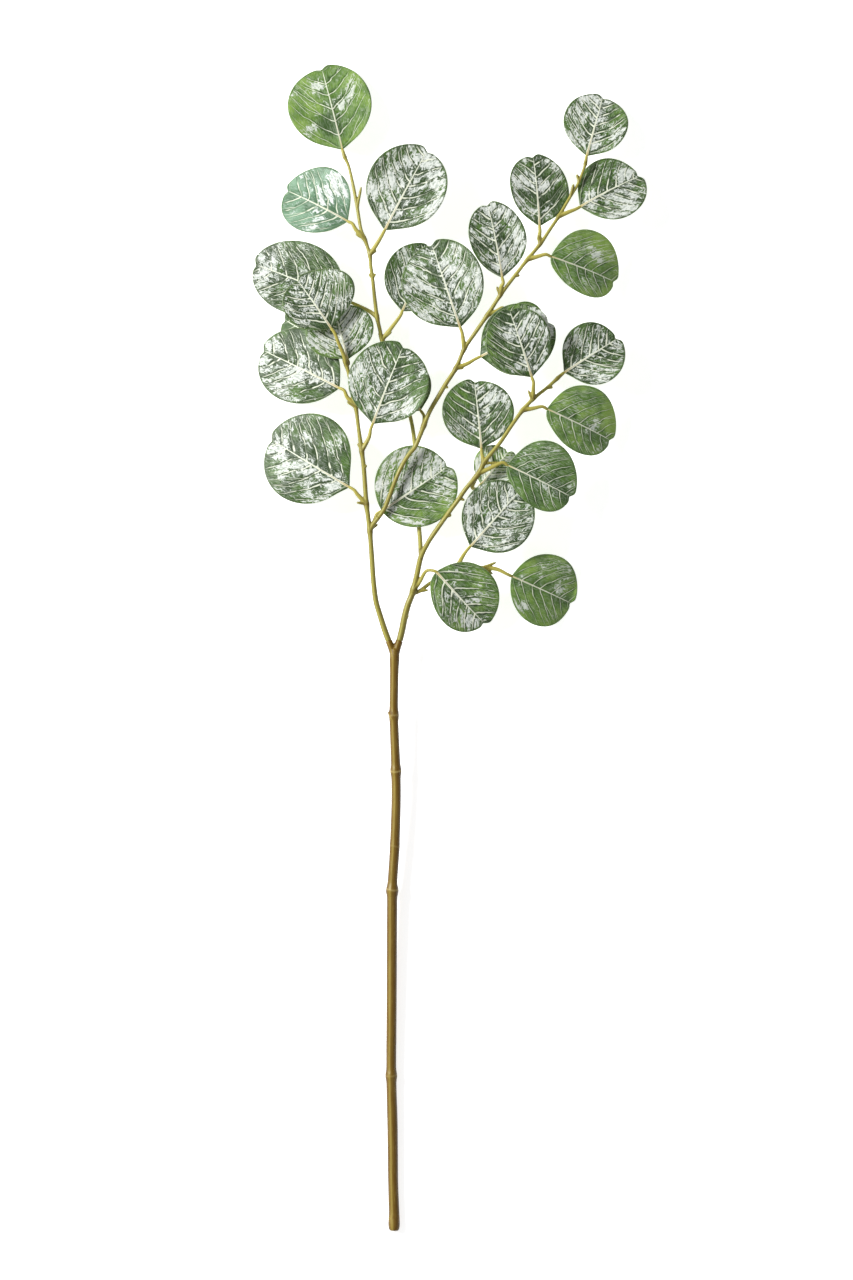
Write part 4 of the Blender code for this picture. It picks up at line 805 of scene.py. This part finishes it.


# The last argument sets how much painted shade darkens the green in the hollows and beside the veins.
def leaf_material(name, dark, mid, bright, frost, vein_size, painted_shade_depth):
    g = Graph(name)
    phase, run, gap_mm = g.parts("vein")
    x, y, seed = g.parts("spot")
    progress, rim, out = g.parts("place")
    bloom, light, yellow = g.parts("tone")
    upper, curl, comb = g.parts("mark")
    spot = g.vector(g.add(x, seed), y, 0.0)
    across = g.times(phase, gap_mm)

    # Side veins and the forks that leave them
    beside = g.times(g.add(g.math("FRACT", phase), -0.5), gap_mm)
    from_vein = g.math("ABSOLUTE", beside)
    chance = g.node("ShaderNodeTexWhiteNoise", {"W": g.add(g.math("FLOOR", phase), seed)}, "Value",
                    noise_dimensions="1D")
    width = g.step(run, 1.0, 24.0, 0.52 * vein_size, 0.32 * vein_size)
    reach = g.step(rim, 0.8, 5.0, 0.2, 1.0)
    broken = g.step(g.noise(spot, 0.17, 0), 0.36, 0.48, 0.2, 1.0)
    vein = g.step(from_vein, g.times(width, 1.15), g.times(width, 0.65))
    vein = g.times(g.times(vein, reach), g.math("MULTIPLY_ADD", broken, vein_size, 1.0 - vein_size))
    drift = g.times(g.math("MAXIMUM", g.add(run, g.math("MULTIPLY_ADD", chance, -9.0, -6.0)), 0.0), 0.045)
    from_fork = g.math("ABSOLUTE", g.add(g.math("FRACT", g.math("SUBTRACT", phase, drift)), -0.5))
    fork = g.times(g.step(g.times(from_fork, gap_mm), 0.30, 0.15), g.step(chance, 0.3, 0.34))
    fork = g.times(g.times(fork, reach), g.step(drift, 0.02, 0.08))

    # A curling net between the veins
    swirl = g.node("ShaderNodeVectorMath", {0: g.noise(spot, 0.30, 0, output="Color"),
                                            1: (4.0, 4.0, 0.0)}, operation="MULTIPLY")
    panel_place = g.vector(g.add(across, seed), g.times(run, 0.85), 0.0)
    bent = g.node("ShaderNodeVectorMath", {0: panel_place, 1: swirl}, operation="ADD")
    net = g.times(g.step(g.voronoi(bent, 0.30, "DISTANCE_TO_EDGE"), 0.12, 0.06), g.step(rim, 0.4, 1.6))
    curls = g.math("ABSOLUTE", g.signed(g.noise(bent, 0.40), 3.0))
    curls = g.step(curls, 0.65, 0.10, -0.7, 1.0)

    # Hollows beside the veins, pressed in and darkened with painted shade, then the white bloom: large
    # areas, streaks, blots, curls and crumbs
    long_place = g.vector(g.math("MULTIPLY_ADD", across, 0.17, seed), g.times(run, 0.075), 0.0)
    stretched = g.noise(long_place, 2.0)
    hollow_end = g.step(stretched, 0.35, 0.65, 0.8, 3.0)
    hollow_and_painted_shade = g.times(g.step(beside, 0.30, 0.60), g.step(beside, hollow_end, 0.7))
    hollow_and_painted_shade = g.times(g.times(hollow_and_painted_shade, g.step(run, 1.0, 4.0)), g.step(run, 26, 15))
    hollow_and_painted_shade = g.times(hollow_and_painted_shade, g.step(stretched, 0.40, 0.48))
    flank_noise = g.noise(spot, 0.5)
    # Painted shade beside the veins: a band where the bloom is held back and the green shows
    painted_vein_shade = g.times(g.step(from_vein, 1.45, 0.95), g.step(flank_noise, 0.36, 0.48))
    rib_flank = g.times(g.step(out, 2.0, 1.3), g.step(flank_noise, 0.60, 0.47))
    big = g.signed(g.noise(spot, 0.075, 0), 1.9)
    streak = g.signed(g.noise(long_place, 1.0), 0.5)
    blots = g.signed(g.noise(bent, 0.25, 2, 0.5), 2.4)
    crumbs = g.signed(g.noise(spot, 0.95), 0.4)
    value = g.total(bloom, -0.12, big, g.signed(chance, 0.4), streak, blots, crumbs,
                    g.times(curls, curl), g.times(hollow_and_painted_shade, -1.6), g.times(painted_vein_shade, -1.2),
                    g.times(rib_flank, -0.9), g.step(rim, 1.8, 0.8, 0.0, -1.1),
                    g.step(progress, 0.15, 0.04, 0.0, -0.9))
    white = g.step(value, 0.0, 0.13)
    specks = g.times(g.step(g.voronoi(bent, 0.55), 0.25, 0.13), g.step(flank_noise, 0.50, 0.54))
    white = g.times(white, g.math("MULTIPLY_ADD", specks, -0.75, 1.0))
    white = g.times(white, g.math("MULTIPLY_ADD", upper, 0.6, 0.4))

    # The green under it, darkened with painted shade in the hollows and beside the veins, and darker along
    # the midrib
    hue = g.total(light, g.signed(g.noise(spot, 0.07), 0.8), g.signed(flank_noise, 0.25),
                  g.step(rim, 5.0, 1.0, 0.0, 0.15), g.step(rim, 1.2, 0.6, 0.0, -0.35),
                  g.step(out, 9.0, 1.0, 0.0, -0.4),
                  g.times(hollow_and_painted_shade, -painted_shade_depth), g.step(from_vein, 1.6, 0.6, 0.0, -0.35 * painted_shade_depth))
    green = g.mix(g.step(hue, -0.7, 0.2), dark, mid)
    green = g.mix(g.step(g.add(hue, g.times(yellow, 0.6)), 0.15, 1.1), green, bright)
    green = g.mix(g.times(g.math("SUBTRACT", 1.0, upper), 0.6), green, UNDERSIDE)
    haze = g.step(g.add(g.times(g.add(stretched, flank_noise), 0.5), g.times(value, 0.07)), 0.36, 0.72)
    green = g.mix(g.times(haze, 0.15), green, frost)
    hatch_place = g.vector(g.math("MULTIPLY_ADD", across, 0.30, seed), g.times(run, 1.15), 0.0)
    hatch = g.times(g.step(g.noise(hatch_place), 0.50, 0.60), comb)
    green = g.mix(g.times(hatch, g.step(from_vein, 0.5, 1.2)), green, frost)
    net_show = g.step(value, -1.3, -0.2, 0.02, 0.65)
    green = g.mix(g.times(net, net_show), green, frost)
    grey = g.mix(g.step(g.noise(panel_place, 0.5, 2), 0.34, 0.54), FROST_SHADE, frost)
    colour = g.mix(g.times(white, 0.96), green, grey)
    colour = g.mix(g.times(fork, 0.8), colour, VEIN)
    colour = g.mix(g.times(vein, 0.95), colour, VEIN)

    # The edge of the blade: a thin pale line
    colour = g.mix(g.step(rim, 0.5, 0.15, 0.0, 0.6), colour, RIM)

    # Midrib: cream, with a tan line down its middle near the stalk
    rib_width = g.step(progress, 0.0, 0.9, 0.85 * vein_size, 0.28)
    rib = g.times(g.step(out, g.times(rib_width, 1.15), g.times(rib_width, 0.75)),
                  g.step(progress, 0.98, 0.86))
    rib_colour = g.mix(g.step(progress, 0.0, 0.16), RIB_FOOT, VEIN)
    colour = g.mix(g.times(rib, 0.97), colour, rib_colour)
    groove = g.times(g.step(out, g.times(rib_width, 0.38), g.times(rib_width, 0.12)),
                     g.step(progress, 0.60, 0.10, 0.0, 0.75))
    colour = g.mix(groove, colour, RIB_LINE)

    height = g.total(g.times(vein, 0.14), g.times(fork, 0.07), g.times(hollow_and_painted_shade, -0.12),
                     g.times(g.noise(spot, 2.2), 0.06))
    roughness = g.step(white, 0.0, 1.0, 0.48, 0.62)
    return g.finish(colour, roughness, height, 0.7, 0.3)


def bark_material(name, olive, brown, ochre, spread):
    g = Graph(name)
    along, across, over = g.parts("grain")
    browning_and_painted_light, stalk, pale = g.parts("bark")
    fibre = g.vector(g.times(along, 0.10), g.times(across, 1.5), g.times(over, 1.5))
    blotch = g.vector(g.times(along, 0.045), g.times(across, 0.30), g.times(over, 0.30))
    streak = g.noise(fibre, 1.0, 3, 0.6, flat=False)
    pores = g.noise(g.vector(g.times(along, 0.55), g.times(across, 2.6), g.times(over, 2.6)), 1.0, 2,
                    flat=False)
    # The browning value holds the stem's own browning and its painted highlight and painted shade
    colour = g.mix(g.total(g.times(browning_and_painted_light, 0.8), g.signed(g.noise(blotch, flat=False), spread),
                           g.signed(streak, 0.28)), olive, brown)
    # Where that value is highest, on the painted shaded edges and right side and at the dark joints, the
    # bark turns to BARK_DARK
    colour = g.mix(g.step(browning_and_painted_light, 1.1, 1.8, 0.0, 0.75), colour, BARK_DARK)
    colour = g.mix(g.times(stalk, 0.75), colour, ochre)
    colour = g.mix(g.step(streak, 0.52, 0.74, 0.0, 0.30), colour, BARK_PALE)
    colour = g.mix(g.step(pores, 0.36, 0.24, 0.0, 0.40), colour, BARK_DARK)
    colour = g.mix(g.math("MINIMUM", pale, 1.0), colour, RING_PALE)
    height = g.total(g.times(streak, 0.5), g.times(pores, 0.18), g.times(pale, 0.1))
    roughness = g.step(streak, 0.3, 0.7, 0.32, 0.46)
    return g.finish(colour, roughness, height, 0.35, 0.3)


VEIN = (0.76, 0.79, 0.64)
RIM = (0.27, 0.36, 0.15)
RIB_FOOT = (0.66, 0.58, 0.30)
RIB_LINE = (0.42, 0.27, 0.10)
FROST_SHADE = (0.46, 0.51, 0.45)
UNDERSIDE = (0.30, 0.40, 0.24)
BARK_PALE = (0.42, 0.33, 0.07)
BARK_DARK = (0.07, 0.036, 0.004)
RING_PALE = (0.50, 0.40, 0.15)

MATERIALS = {
    "leaf_frosted": leaf_material("leaf_frosted", (0.020, 0.050, 0.006), (0.066, 0.140, 0.019),
                                  (0.17, 0.29, 0.045), (0.72, 0.75, 0.70), 1.0, 0.9),
    "leaf_green": leaf_material("leaf_green", (0.036, 0.084, 0.014), (0.096, 0.190, 0.034),
                                (0.21, 0.34, 0.060), (0.66, 0.71, 0.62), 0.60, 0.5),
    "leaf_mint": leaf_material("leaf_mint", (0.080, 0.170, 0.085), (0.19, 0.33, 0.21),
                               (0.27, 0.42, 0.30), (0.76, 0.81, 0.78), 0.85, 0.5),
    "bark": bark_material("bark", (0.29, 0.212, 0.042), (0.130, 0.064, 0.002), (0.36, 0.27, 0.03), 0.35),
    "twig": bark_material("twig", (0.38, 0.350, 0.080), (0.11, 0.075, 0.005), (0.44, 0.390, 0.085), 0.35),
}

for node in STEMS:
    stem(node, stem_parts(node))
for index, (node, leaf) in enumerate(LEAVES.items()):
    blade(node, leaf, index)


# Surroundings

def plain_floor():
    bpy.ops.mesh.primitive_plane_add(size=20.0, location=(0.04, 0.4, -0.0004))
    floor = bpy.context.object
    floor.name = "floor"
    paper = bpy.data.materials.new("pale_floor")
    paper.use_nodes = True
    shader = paper.node_tree.nodes["Principled BSDF"]
    shader.inputs["Base Color"].default_value = (0.93, 0.93, 0.93, 1)
    shader.inputs["Roughness"].default_value = 0.9
    shader.inputs["Emission Color"].default_value = (1, 1, 1, 1)
    shader.inputs["Emission Strength"].default_value = FLOOR_GLOW
    floor.data.materials.append(paper)


def area_light(name, place, target, size, watts):
    lamp = bpy.data.lights.new(name, "AREA")
    lamp.shape, lamp.size, lamp.energy = "DISK", size, watts
    light = bpy.data.objects.new(name, lamp)
    light.location = place
    aim = np.array(target) - np.array(place)
    light.rotation_euler = (math.atan2(math.hypot(aim[0], aim[1]), -aim[2]), 0,
                            math.atan2(aim[0], -aim[1]) + math.pi)
    bpy.context.scene.collection.objects.link(light)


FLOOR_GLOW = 0.66
VIEW_CENTRE = (0.02275, 0.4084, 0.022)
VIEW_HEIGHT = 3.7
FRAME_LONG_SIDE = 1280 * 0.7 * MM

plain_floor()
area_light("key", (-3.4, 1.9, 3.0), (0.03, 0.45, 0.0), 1.4, 300)
area_light("fill", (2.6, -1.2, 3.4), (0.03, 0.45, 0.0), 2.4, 10)

world = bpy.data.worlds.new("studio")
world.use_nodes = True
world.node_tree.nodes["Background"].inputs["Color"].default_value = (1.0, 1.0, 1.0, 1)
world.node_tree.nodes["Background"].inputs["Strength"].default_value = 0.32
bpy.context.scene.world = world
bpy.context.scene.view_settings.view_transform = "Standard"

lens = bpy.data.cameras.new("camera")
lens.sensor_width = 36.0
lens.lens = lens.sensor_width * VIEW_HEIGHT / FRAME_LONG_SIDE * 1.003
lens.clip_end = 50.0
camera = bpy.data.objects.new("camera", lens)
camera.location = (VIEW_CENTRE[0], VIEW_CENTRE[1], VIEW_CENTRE[2] + VIEW_HEIGHT)
bpy.context.scene.collection.objects.link(camera)
bpy.context.scene.camera = camera
